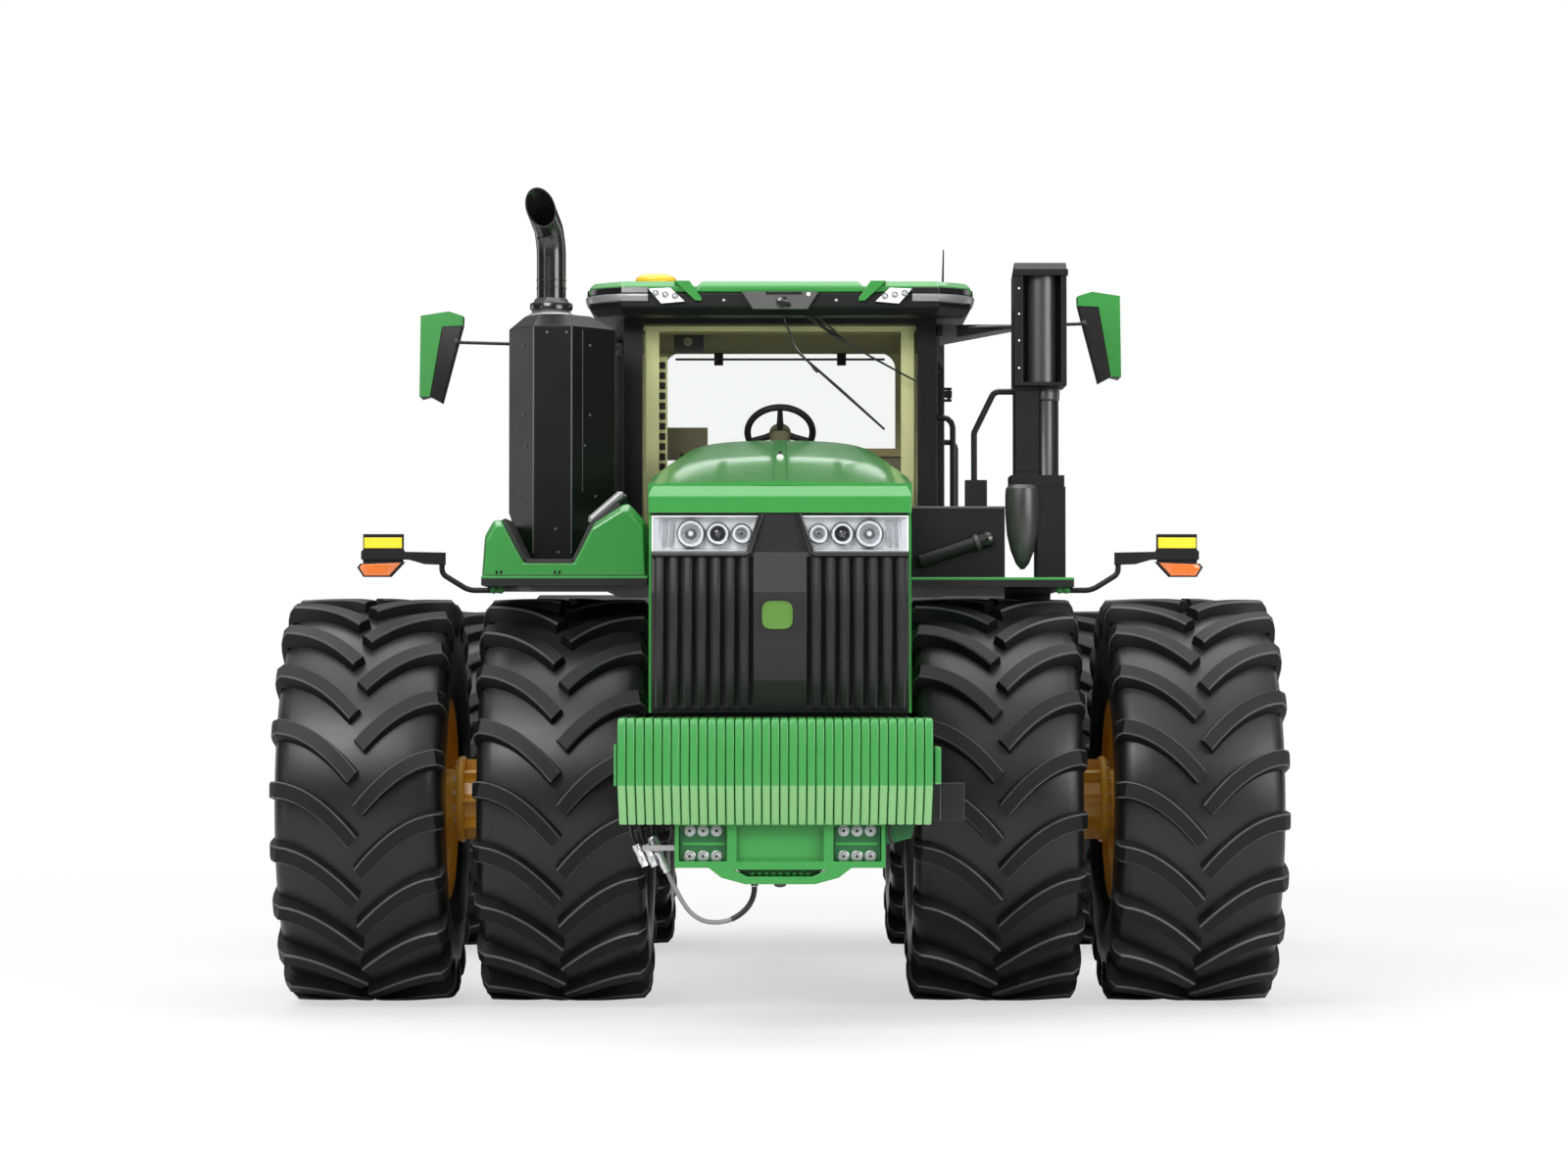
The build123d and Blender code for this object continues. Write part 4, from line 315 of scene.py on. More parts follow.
NODE_LOOKS = {
    "green": "hood_shell nose_panel right_cowl cab_roof front_weights fuel_tank",
    "deck": "cab_deck",
    "bracket": "weight_bracket",
    "yellow": "front_left_rims front_right_rims rear_left_rims rear_right_rims",
    "rubber": "front_left_tyres front_right_tyres rear_left_tyres rear_right_tyres front_hose",
    "black": "front_frame pivot_bulkhead rear_frame articulation_yoke front_axle rear_axle cab_frame steps "
             "handrails door_frame exhaust_pipe drawbar drawbar_hanger left_steering_barrel "
             "right_steering_barrel",
    "box_black": "exhaust_box",
    "grille": "grille",
    "plastic": "lower_grille air_intake battery_box mirrors marker_arms firewall side_screens roof_base "
               "rear_fenders",
    "interior": "steering_column side_console",
    "cast": "engine transmission",
    "steel": "left_steering_rod right_steering_rod hydraulic_couplers hose_couplers",
    "chrome": "headlamps roof_lamps",
    "receiver": "gps_receiver",
    "red": "tail_lamps",
    "seat": "operator_seat",
    "glass": "cab_glass door_glass",
}


for look, names in NODE_LOOKS.items():
    for name in names.split():
        nodes[name].data.materials.clear()
        nodes[name].data.materials.append(mats[look])

# ------------------------------------------------------------------ building
POINT = 1e-5                 # radius that closes a lathe to a point
WASHER = ((0, 1.35), (0.18, 1.35), (0.2, 1.2))     # along and radius, of a bolt of size 1
BOLT_HEAD = ((0.18, 1), (0.75, 1), (0.95, 0.86))
EDGE_ANGLE, CAD_EDGE_ANGLE = 28, 24     # degrees from which edges are rounded, here and on CAD pieces


def circle(count, start=0.0):
    """Cosines and sines of points around a circle, the first a share of a step from 0."""
    return [(math.cos(a), math.sin(a)) for a in (2 * math.pi * (k + start) / count for k in range(count))]


def on_axis(axis, along, a, b):
    """A point given along an axis and across it."""
    return {"x": (along, a, b), "y": (a, along, b), "z": (a, b, along)}[axis]


def grown(outline, grow, middle=None):
    """An outline made larger or smaller about a point, or about the mean of its corners."""
    a, b = middle or [sum(values) / len(outline) for values in zip(*outline)]
    return [(a + (x - a) * grow, b + (z - b) * grow) for x, z in outline]


def sided(side, outline):
    """An outline as it is for the left, or mirrored for the right."""
    return [(side * x, z) for x, z in outline]


def bent(start, control, end, t):
    """A spot on the curve that leaves start towards control and arrives at end."""
    return start * (1 - t) ** 2 + control * (2 * t * (1 - t)) + end * t ** 2


def round_edges(obj, width, segments, angle):
    edges = obj.modifiers.new("edges", "BEVEL")
    edges.width, edges.segments, edges.limit_method = width, segments, "ANGLE"
    edges.angle_limit = math.radians(angle)
    edges.harden_normals = True


def tube_rings(path, radius, sides):
    """Rings across a path, with one radius or one a point."""
    path = [Vector(point) for point in path]
    radii = radius if isinstance(radius, (list, tuple)) else [radius] * len(path)
    up, rings = None, []
    for index, spot in enumerate(path):
        before, after = path[max(0, index - 1)], path[min(len(path) - 1, index + 1)]
        ahead = (after - before).normalized()
        if up is None:
            up = Vector((1, 0, 0)) if abs(ahead.x) < 0.9 else Vector((0, 0, 1))
        up = (up - ahead * ahead.dot(up)).normalized()
        over = ahead.cross(up)
        rings.append([spot + up * (radii[index] * c) + over * (radii[index] * s) for c, s in circle(sides)])
    return rings


class Form:
    """A mesh gathered from runs of faces, each with its look, in metres from the piece's origin."""

    def __init__(self, origin):
        self.origin = Vector(origin)
        self.points, self.faces, self.looks = [], [], []

    def rings(self, rings, look, caps=True):
        """Skins rings of equally many points in turn, with one look or one for each side of a ring."""
        base, count = len(self.points), len(rings[0])
        sides = look if isinstance(look, tuple) else (look,) * count
        for start in range(base, base + (len(rings) - 1) * count, count):
            for k in range(count):
                a, b = start + k, start + (k + 1) % count
                self.faces.append((a, b, b + count, a + count))
                self.looks.append(sides[k])
        if caps:
            last = base + (len(rings) - 1) * count
            self.faces += [tuple(reversed(range(base, base + count))), tuple(range(last, last + count))]
            self.looks += [sides[0]] * 2
        self.points += [tuple(point) for ring in rings for point in ring]

    def block(self, x, y, z, look):
        (x0, x1), (y0, y1), (z0, z1) = x, y, z
        self.rings([[(x0, y0, h), (x1, y0, h), (x1, y1, h), (x0, y1, h)] for h in (z0, z1)], look)

    def prism(self, outline, axis, start, end, look):
        """A flat outline drawn out along X, Y or Z."""
        self.rings([[on_axis(axis, along, a, b) for a, b in outline] for along in (start, end)], look)

    def lathe(self, profile, centre, axis, steps, look, caps=True):
        """A profile of (along, radius) turned about a centre, its axis x, y or z; uncapped if closed."""
        rings = []
        for along, radius in profile:
            reach = max(radius, POINT)
            offsets = [on_axis(axis, along, reach * c, reach * s) for c, s in circle(steps)]
            rings.append([[middle + step for middle, step in zip(centre, offset)] for offset in offsets])
        self.rings(rings, look, caps=caps and profile[0] != profile[-1])

    def tube(self, path, radius, sides, look):
        self.rings(tube_rings(path, radius, sides), look)

    def bolt(self, place, axis, size, look="steel", sign=1):
        """A hexagon head on a washer, standing off a face along an axis."""
        for profile, steps in ((WASHER, 14), (BOLT_HEAD, 6)):
            self.lathe([(sign * size * along, size * radius) for along, radius in profile], place, axis,
                       steps, look)

    def make(self, name, body, bevel=0.0, segments=2, smooth=35, replaces=()):
        mesh = bpy.data.meshes.new(name)
        mesh.from_pydata([Vector(point) - self.origin for point in self.points], [], self.faces)
        used = list(dict.fromkeys(self.looks))
        for look in used:
            mesh.materials.append(mats[look])
        for polygon, look in zip(mesh.polygons, self.looks):
            polygon.material_index = used.index(look)
        work = bmesh.new()
        work.from_mesh(mesh)
        bmesh.ops.recalc_face_normals(work, faces=work.faces)
        work.to_mesh(mesh)
        work.free()
        mesh.shade_smooth()
        mesh.set_sharp_from_angle(angle=math.radians(smooth))
        obj = put(name, mesh, self.origin)
        if bevel:
            round_edges(obj, bevel, segments, EDGE_ANGLE)
        bpy.context.view_layer.update()
        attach(obj, body)
        for node in replaces:
            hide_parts(node)


def smooth_path(points, bend, steps):
    """Straight runs with rounded corners, as points."""
    spots = [Vector(point) for point in points]
    path = [spots[0]]
    for before, corner, after in zip(spots, spots[1:], spots[2:]):
        reach = min(bend, (corner - before).length * 0.45, (after - corner).length * 0.45)
        start, end = [corner + (spot - corner).normalized() * reach for spot in (before, after)]
        for step in range(steps + 1):
            path.append(bent(start, corner, end, step / steps))
    path.append(spots[-1])
    return path


# ------------------------------------------------------------------ tyres
TYRE_RADIUS = 1.035
LUGS = 20                    # on each side of a tyre
INNER_WHEEL, OUTER_WHEEL = 1.085, 2.08
TYRE_STEPS = 120
CARCASS = [                  # across from the middle, radius
    (0.0, 0.978), (0.12, 0.977), (0.24, 0.97), (0.33, 0.958), (0.375, 0.944), (0.398, 0.92), (0.411, 0.88),
    (0.418, 0.82), (0.42, 0.76), (0.418, 0.7), (0.408, 0.65), (0.396, 0.612), (0.392, 0.6), (0.384, 0.592),
    (0.372, 0.566), (0.366, 0.545), (0.362, 0.536), (0.352, 0.524), (0.347, 0.512), (0.345, 0.498),
    (0.335, 0.492)]


def tyre_pair(name, side, axle_y, replaced):
    form = Form((side * (INNER_WHEEL + OUTER_WHEEL) / 2, axle_y, TYRE_RADIUS))
    for wheel in (INNER_WHEEL, OUTER_WHEEL):
        middle = (side * wheel, axle_y, TYRE_RADIUS)
        profile = [(-x, r) for x, r in reversed(CARCASS)] + CARCASS[1:]
        form.lathe(profile, middle, "x", TYRE_STEPS, "carcass", caps=False)
        for half in BOTH:
            for index in range(LUGS):
                lug(form, middle, half, 2 * math.pi * (index + (0.25 if half > 0 else -0.25)) / LUGS)
    form.make(name, replaced.replace("_tyres", "_wheels"), smooth=38, replaces=(replaced,))


LUG_STEPS = 9
LUG_START, LUG_RUN = 0.014, 0.376     # its nose from the tyre's middle, and how far it runs across
LUG_LEAD = 0.235             # how far a lug's nose runs ahead of its shoulder
LUG_NOSE = (0.75, -0.66)     # direction of a lug at its nose
SHOULDER = (                 # down the sidewall: across and radius of a lug's foot, and of its top
    (0.392, 0.925, 0.418, 0.994), (0.404, 0.895, 0.427, 0.955), (0.412, 0.865, 0.428, 0.905),
    (0.417, 0.835, 0.4215, 0.84))


def lug(form, middle, half, angle):
    """A curved bar from a squared nose near the middle to the shoulder, and down the sidewall a little."""
    line = []                # across, lead along the tread, base radius, top radius, half width
    for step in range(LUG_STEPS + 1):
        t = step / LUG_STEPS
        line.append((LUG_START + LUG_RUN * t, LUG_LEAD * (1 - t) ** 1.9 + 0.03 * (1 - t),
                     0.965 - 0.022 * t * t, TYRE_RADIUS - 0.007 * t * t, 0.036 + 0.006 * t))
    sections = []
    for index, (x, lead, low, high, wide) in enumerate(line):
        before, after = line[max(0, index - 1)], line[min(LUG_STEPS, index + 1)]
        run = Vector((after[0] - before[0], after[1] - before[1])).normalized()
        if index == 0:
            run = Vector(LUG_NOSE).normalized()
        across = Vector((-run.y, run.x))
        ring = []
        for offset, radius in ((-wide - 0.012, low), (-wide, high - 0.01), (-wide + 0.007, high),
                               (wide - 0.007, high), (wide, high - 0.01), (wide + 0.012, low)):
            ring.append((x + across.x * offset, lead + across.y * offset, radius))
        sections.append(ring)
    wide = line[-1][4]
    for x_low, low, x_high, high in SHOULDER:
        sections.append([(x_low, -wide - 0.008, low), (x_high - 0.002, -wide, high - 0.004),
                         (x_high, -wide + 0.008, high), (x_high, wide - 0.008, high),
                         (x_high - 0.002, wide, high - 0.004), (x_low, wide + 0.008, low)])
    rings = []
    for section in sections:
        ring = []
        for x, lead, radius in section:
            turn = angle + lead / TYRE_RADIUS
            ring.append((middle[0] + half * x, middle[1] + radius * math.cos(turn),
                         middle[2] + radius * math.sin(turn)))
        rings.append(ring)
    # the chamfers along a lug's top take the lighter rubber, a painted highlight
    form.rings(rings, ("rubber", "rubber_edge", "rubber", "rubber_edge", "rubber", "rubber"))


wheels = (                   # name, side, axle
    ("front_left", 1, FY), ("front_right", -1, FY), ("rear_left", 1, REAR_AXLE),
    ("rear_right", -1, REAR_AXLE))
for name, side, axle_y in wheels:
    tyre_pair(f"{name}_tyre_pair", side, axle_y, f"{name}_tyres")


# ------------------------------------------------------------------ rims
DISC_INSET = 0.25            # of a wheel's disc from the middle of its tyre
RIM_LIP = [(0.34, 0.488), (0.352, 0.5), (0.358, 0.512), (0.372, 0.52), (0.378, 0.516), (0.374, 0.505),
           (0.362, 0.494), (0.352, 0.475), (0.34, 0.466), (0.34, 0.488)]
SPACER_FLANGE = ((0, 0.15), (0, 0.215), (0.012, 0.222), (0.026, 0.222), (0.038, 0.215), (0.038, 0.15))


def rim_trim(name, side, axle_y):
    """Bolts, hub cap, ribs, flange rings and the spacer between the wheels."""
    z = TYRE_RADIUS
    form = Form((side * OUTER_WHEEL, axle_y, z))
    disc = side * (OUTER_WHEEL - DISC_INSET)
    centre = (disc, axle_y, z)

    def bolts(count, start, radius, x, size, sign=side):
        for c, s in circle(count, start):
            form.bolt((x, axle_y + radius * c, z + radius * s), "x", size, sign=sign)

    form.lathe(sided(side, [(0, 0.2), (0.012, 0.2), (0.016, 0.19), (0.016, 0.16)]), centre, "x", 48,
               "yellow", caps=False)
    form.lathe(sided(side, [(0.0, 0.155), (0.115, 0.15), (0.13, 0.135), (0.135, 0.0)]), centre, "x", 40,
               "yellow")
    bolts(12, 0.5, 0.178, disc + side * 0.014, 0.014)
    bolts(8, 0, 0.1, disc + side * 0.13, 0.01)
    form.lathe(sided(side, [(0, 0.35), (0.02, 0.345), (0.032, 0.33), (0.032, 0.3), (0.018, 0.28),
                            (0, 0.27)]), centre, "x", 60, "yellow", caps=False)
    bolts(10, 0.5, 0.415, disc + side * 0.001, 0.015)
    for wheel in (INNER_WHEEL, OUTER_WHEEL):
        for half in BOTH:
            form.lathe(sided(half, RIM_LIP), (side * wheel, axle_y, z), "x", 72, "yellow")
    between = side * (INNER_WHEEL + OUTER_WHEEL) / 2
    for offset in (-0.075, 0.06):
        flange = [(offset + x, r) for x, r in SPACER_FLANGE]
        form.lathe(flange, (between, axle_y, z), "x", 48, "yellow")
        bolts(16, 0.5, 0.192, between + offset + (0.038 if offset > 0 else 0), 0.012, 1 if offset > 0 else -1)
    for c, s in circle(8):
        form.rings([[(between + x, axle_y + r * c - w * s, z + r * s + w * c)
                     for x, w in ((-0.04, -0.007), (0.06, -0.007), (0.06, 0.007), (-0.04, 0.007))]
                    for r in (0.15, 0.205)], "yellow")
    form.make(name, name.replace("_rim_trim", "_wheels"), bevel=0.002, smooth=40)


for name, side, axle_y in wheels:
    rim_trim(f"{name}_rim_trim", side, axle_y)

# ------------------------------------------------------------------ front weights, bracket and hose
WEIGHT_FACE = FY - 2.35
BRACKET_FACE = FY - 2.12
WEIGHTS_X, GAP_HALF = -0.022, 0.71     # middle of the row, half the width of the shadow behind it
WEIGHT_COUNT, WEIGHT_PITCH, WEIGHT_HALF = 35, 0.041, 0.019
weights = Form((0, WEIGHT_FACE, 1.2))
SLAB = ((0, 1.175), (-0.004, 1.32), (0, 1.452), (0.008, 1.471), (0.028, 1.48), (0.37, 1.48), (0.39, 1.4),
        (0.29, 1.4), (0.23, 1.36), (0.23, 0.99), (0.186, 0.99))
slab = [(WEIGHT_FACE + y, z) for y, z in SLAB]
for index in range(WEIGHT_COUNT):
    x = WEIGHTS_X + (index - WEIGHT_COUNT // 2) * WEIGHT_PITCH
    weights.prism(slab, "x", x - WEIGHT_HALF, x + WEIGHT_HALF, "weight")
gap = (WEIGHTS_X - GAP_HALF, WEIGHTS_X + GAP_HALF)
weights.block(gap, (WEIGHT_FACE + 0.06, BRACKET_FACE), (1.2, 1.42), "weight_gap")
weights.prism([(WEIGHT_FACE + 0.2, 1.02), (BRACKET_FACE, 1.02), (BRACKET_FACE, 1.3),
               (WEIGHT_FACE + 0.04, 1.3), (WEIGHT_FACE + 0.04, 1.185)], "x", *gap, "weight_gap")
weights.block((0.7015, 0.732), (WEIGHT_FACE + 0.03, WEIGHT_FACE + 0.24), (1.18, 1.35), "weight")
weights.block((-0.757, -0.741), (WEIGHT_FACE + 0.05, WEIGHT_FACE + 0.22), (1.17, 1.36), "weight")
weights.make("front_weight_slabs", "front", bevel=0.009, segments=3, smooth=50, replaces=("front_weights",))

bracket = Form((0, BRACKET_FACE, 0.9))
recess = BRACKET_FACE + 0.0405
for side in BOTH:
    for x in (0.292, 0.354, 0.416):
        for z in (0.842, 0.96):
            centre = (side * x, recess, z)
            bracket.lathe([(0.002, 0.027), (-0.006, 0.027), (-0.008, 0.024)], centre, "y", 20, "steel")
            bracket.lathe([(-0.007, 0.02), (-0.022, 0.02), (-0.026, 0.015)], centre, "y", 6, "steel")
            bracket.lathe([(-0.0255, 0.009), (-0.0262, 0.008)], centre, "y", 12, "cast")
    # the plates at the back of the recesses are darker green: painted shade
    bracket.prism(sided(side, [(0.248, 0.823), (0.462, 0.823), (0.462, 0.982), (0.248, 0.982)]), "y",
                  recess - 0.001, recess + 0.004, "deep_green")
    bracket.block((side * 0.255, side * 0.45), (recess - 0.006, recess + 0.002), (0.892, 0.906),
                  "bracket_plain")
    hook = [Vector((side * x, BRACKET_FACE - 0.01, z))
            for x, z in ((0.505, 0.985), (0.5, 0.94), (0.515, 0.905))]
    bracket.tube(hook, 0.008, 8, "black")
# the front panel takes the lighter green: painted light
bracket.prism([(-0.19, 0.835), (0.19, 0.835), (0.19, 0.975), (-0.19, 0.975)], "y", recess - 0.002,
              recess + 0.004, "bracket_light")
# the arch behind the balls is darker green: painted shade
arch = [(-0.15, 0.742), (0.15, 0.742), (0.205, 0.782), (-0.205, 0.782)]
bracket.prism(arch, "y", BRACKET_FACE + 0.058, BRACKET_FACE + 0.064, "deep_green")
BALLS, BALL_PITCH = 9, 0.032
for k in range(BALLS):
    ball = ((k - BALLS // 2) * BALL_PITCH, BRACKET_FACE + 0.058, 0.762)
    # the balls take the lighter green: painted light
    bracket.lathe([(0.004, 0.0135), (-0.004, 0.013), (-0.01, 0.008), (-0.012, 0.002)], ball, "y", 12,
                  "bracket_light")
bracket.lathe([(0.7, 0.01), (0.705, 0.026), (0.722, 0.03), (0.738, 0.026), (0.74, 0.012)],
              (0.0, BRACKET_FACE + 0.03, 0), "z", 20, "cast")
# a darker green plate set back at the bracket's side: painted shade
bracket.prism([(0.485, 0.985), (0.62, 0.985), (0.605, 0.925), (0.485, 0.895)], "y", BRACKET_FACE + 0.05,
              BRACKET_FACE + 0.08, "deep_green")
bracket.tube([(0.492, BRACKET_FACE - 0.004, 1.178), (0.735, BRACKET_FACE - 0.004, 1.178),
              (0.735, BRACKET_FACE - 0.004, 1.01)], 0.004, 8, "trim_grey")
bracket.make("bracket_hardware", "front", bevel=0.002, smooth=40)

HOSE_Y = BRACKET_FACE + 0.12
HOSE_RADIUS, HOSE_STEPS = 0.011, 16
hose_points = [(-0.52, 0.765), (-0.455, 0.62), (-0.38, 0.545), (-0.3, 0.528), (-0.205, 0.548),
               (-0.118, 0.632), (-0.118, 0.7)]
hose_curve = bpy.data.curves.new("front_hose_line", "CURVE")
hose_curve.dimensions = "3D"
hose_curve.bevel_depth = HOSE_RADIUS
hose_curve.bevel_resolution = 5
hose_curve.use_fill_caps = True
spline = hose_curve.splines.new("NURBS")
spline.points.add(len(hose_points) - 1)
for point, (x, z) in zip(spline.points, hose_points):
    point.co = (x, HOSE_Y, z, 1)
spline.order_u = 3
spline.use_endpoint_u = True
spline.resolution_u = 12
hose_curve.materials.append(mats["hose"])
hose = put("front_hose_line", hose_curve)
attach(hose, "front")
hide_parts("front_hose")


def spline_spots(points):
    """Points along the quadratic line that a NURBS of order 3 with end points draws."""
    spots = [Vector((x, HOSE_Y, z)) for x, z in points]
    joints = [spots[0]] + [(a + b) / 2 for a, b in zip(spots[1:-1], spots[2:-1])] + [spots[-1]]
    line = [spots[0]]
    for start, control, end in zip(joints, spots[1:-1], joints[1:]):
        line += [bent(start, control, end, step / HOSE_STEPS) for step in range(1, HOSE_STEPS + 1)]
    return line


hose_line = spline_spots(hose_points)

couplers = Form((-0.55, HOSE_Y, 0.85))
couplers.tube(hose_line[int(len(hose_line) * 0.66)::3] + [hose_line[-1]], 0.0128, 14, "sleeve")
(end_x, end_z), (next_x, next_z) = hose_points[:2]
hose_end = Vector((end_x, HOSE_Y, end_z))
lean = (hose_end - Vector((next_x, HOSE_Y, next_z))).normalized()
couplers.tube([hose_end + lean * d for d in (0.09, 0.1, 0.17, 0.18)], [0.018, 0.026, 0.026, 0.018], 16,
              "steel")
for spacing in (0.0, 0.045, 0.09):
    start = Vector((end_x - spacing, HOSE_Y, end_z)) + (lean * 0.03 if spacing else Vector())
    radii = [0.0125, 0.0165, 0.0165, 0.0205, 0.0205, 0.0165, 0.0165, 0.0205, 0.0205, 0.013]
    spots = [start + lean * d for d in (0.0, 0.004, 0.022, 0.024, 0.05, 0.052, 0.078, 0.08, 0.108, 0.11)]
    couplers.tube(spots, radii, 16, "steel")
    rise = [start + lean * 0.108, start + lean * 0.15, start + lean * 0.17 + Vector((0, 0, 0.03)),
            start + lean * 0.17 + Vector((0.0, 0, 0.075))]
    couplers.tube(rise, 0.01, 12, "sleeve")
last_x, last_z = hose_points[-1]
couplers.tube([(last_x, HOSE_Y, last_z + rise) for rise in (-0.002, 0.005, 0.016)], [0.013, 0.017, 0.017],
              12, "steel")
couplers.make("hose_coupler_bodies", "front", bevel=0.001, smooth=40)

# ------------------------------------------------------------------ hood, grille and headlamps
NOSE = FY - 1.9
hood_sections = (            # Y, crease half width, crease Z, crown Z
    (NOSE, 0.592, 2.562, 2.572), (FY - 0.8, 0.526, 2.716, 2.748), (FY + 0.45, 0.452, 2.868, 2.912))
hood_sides = ((0.612, 2.52), (0.608, 2.59), (0.6, 2.66))     # half width and Z of the shoulders there
SKIN = 0.004                 # thickness of the painted skin over the hood's panels
RIDGE = 0.028                # half the width of the flat ridge along the hood
HOOD_BEND = 0.25             # reach of the bend in the hood's length, either way
HOOD_STEPS, CURVE_STEPS = 24, 8     # along the hood, and between two knots of its section


def along_hood(values, y):
    """Straight runs through three values, one at each section, with a short bend at the middle one."""
    ys = [section[0] for section in hood_sections]
    if abs(y - ys[1]) < HOOD_BEND:
        start, end = [float(np.interp(ys[1] + way * HOOD_BEND, ys, values)) for way in (-1, 1)]
        return bent(start, values[1], end, (y - ys[1] + HOOD_BEND) / (2 * HOOD_BEND))
    return float(np.interp(y, ys, values))


def hood_ring(y):
    """The skin's section: a curve through shoulder, crease and crown, with a flat ridge in the middle."""
    half, shoulder = [along_hood([side[k] for side in hood_sides], y) for k in (0, 1)]
    crease, crease_z, crown = [along_hood([section[k] for section in hood_sections], y) for k in (1, 2, 3)]
    knots = [(half, shoulder - 0.16), (half, shoulder - 0.05), (half, shoulder), (crease, crease_z),
             (0, crown), (-crease, crease_z)]
    curve = []
    for before, start, end, after in zip(knots, knots[1:], knots[2:], knots[3:]):
        for step in range(CURVE_STEPS):
            t = step / CURVE_STEPS
            curve.append([0.5 * (2 * b + (c - a) * t + (2 * a - 5 * b + 4 * c - d) * t ** 2
                                 + (3 * b - a - 3 * c + d) * t ** 3)
                          for a, b, c, d in zip(before, start, end, after)])
    curve = [(min(x, half) + SKIN * min(1, x / half), z + SKIN) for x, z in curve if x > RIDGE + 0.008]
    top = curve[-1][1] + (crown + SKIN - curve[-1][1]) * 0.9
    right = curve + [(RIDGE + 0.006, top), (RIDGE, top + 0.0045)]
    return [(x, y, z) for x, z in right + [(-x, z) for x, z in reversed(right)]]


hood_trim = Form((0, FY - 0.7, 2.7))
hood_run = hood_sections[2][0] - NOSE - 0.004
hood_trim.rings([hood_ring(NOSE + 0.003 + hood_run * k / HOOD_STEPS) for k in range(HOOD_STEPS + 1)], "green")
hood_trim.lathe([(2.748, 0.02), (2.762, 0.017), (2.768, 0.008)], (0.0, FY - 0.82, 0), "z", 20, "white")
hood_trim.lathe([(2.755, 0.013), (2.778, 0.009), (2.788, 0.003)], (0.0, FY - 0.8, 0), "z", 16, "black")
hood_trim.prism([(-0.598, 2.416), (0.598, 2.416), (0.598, 2.432), (-0.598, 2.432)], "y", NOSE - 0.018, NOSE,
                "plastic")
hood_trim.make("hood_trim", "hood", smooth=30)

face = Form((0, NOSE, 1.9))
profile = [(NOSE, 1.5), (NOSE - 0.052, 1.65), (NOSE - 0.08, 1.87), (NOSE - 0.07, 2.06), (NOSE - 0.03, 2.25)]


def bow(z):
    """Y of the grille's bowed face at a height."""
    return float(np.interp(z, [p[1] for p in profile], [p[0] for p in profile]))


LOUVRE = ((0.001, 0.004), (0.003, -0.003), (0.012, -0.011))     # half its section, from its edge
SLOTS, SLOT_START, SLOT_PITCH, SLOT_WIDE, GRILLE_HALF = 7, 0.124, 0.066, 0.022, 0.598
LOUVRE_LOW, LOUVRE_HIGH, LOUVRE_STEPS = 1.522, 2.236, 12
heights = [LOUVRE_LOW + (LOUVRE_HIGH - LOUVRE_LOW) * k / LOUVRE_STEPS for k in range(LOUVRE_STEPS + 1)]
for side in BOTH:
    for slot in range(SLOTS):
        near = SLOT_START + SLOT_PITCH * slot + SLOT_WIDE
        far = min(near + SLOT_PITCH - SLOT_WIDE, GRILLE_HALF)
        louvre = [(near + x, y) for x, y in LOUVRE] + [(far - x, y) for x, y in reversed(LOUVRE)]
        face.rings([[(side * x, bow(z) + y, z) for x, y in louvre] for z in heights], "grille")
    frame_line = [(0.596, 2.238), (0.158, 2.238), (0.146, 2.246), (0.09, 2.412), (0.088, 2.428)]
    face.tube([(side * x, NOSE - 0.034 - (0.014 if z < 2.3 else 0), z) for x, z in frame_line], 0.014, 12,
              "pipe_black")
face.prism([(-0.575, 1.52), (0.575, 1.52), (0.575, 2.225), (-0.575, 2.225)], "y", NOSE + 0.01, NOSE + 0.016,
           "mesh")
face.block((-0.59, 0.59), (NOSE + 0.032, NOSE + 0.044), (1.472, 1.53), "plastic")
face.make("grille_louvres", "hood", bevel=0.001, smooth=45)

BADGE_X, BADGE_Z, BADGE_ROUND = -0.013, 1.953, 0.55     # its middle, and the power that squares its circle
badge = Form((BADGE_X, bow(BADGE_Z), BADGE_Z))
plate = [(BADGE_X + 0.072 * math.copysign(abs(c) ** BADGE_ROUND, c),
          BADGE_Z + 0.066 * math.copysign(abs(s) ** BADGE_ROUND, s)) for c, s in circle(32)]
badge_rings = ((1.0, -0.012), (1.0, 0.006), (0.96, 0.01), (0.9, 0.01), (0.88, 0.007), (0.4, 0.008))
badge.rings([[(x, bow(BADGE_Z) - y, z) for x, z in grown(plate, grow, (BADGE_X, BADGE_Z))]
             for grow, y in badge_rings], "plate")
badge.make("blank_plate", "hood", smooth=30)

LAMP_FACE = NOSE - 0.025
LAMP_MIDDLE = 2.334
LAMP_LOW, LAMP_HIGH = 2.25, 2.418
LAMP_FOOT, LAMP_HEAD = 0.143, 0.092
BOWL_STEPS = 6
LAMP_BAR = [(0, 2.275), (0.02, 2.275), (0.012, 2.398), (-0.008, 2.398)]     # a bright bar
LENSES = ((0.416, 0.063), (0.29, 0.052), (0.18, 0.045))     # centreline to each lens, its radius


def lamp_outline(foot=0.0, low=0.0, end=0.0, high=0.0, head=0.0):
    """The left lamp's opening, each of its sides moved inwards."""
    return [(LAMP_FOOT + foot, LAMP_LOW + low), (GRILLE_HALF - end, LAMP_LOW + low),
            (GRILLE_HALF - end, LAMP_HIGH - high), (LAMP_HEAD + head, LAMP_HIGH - high)]


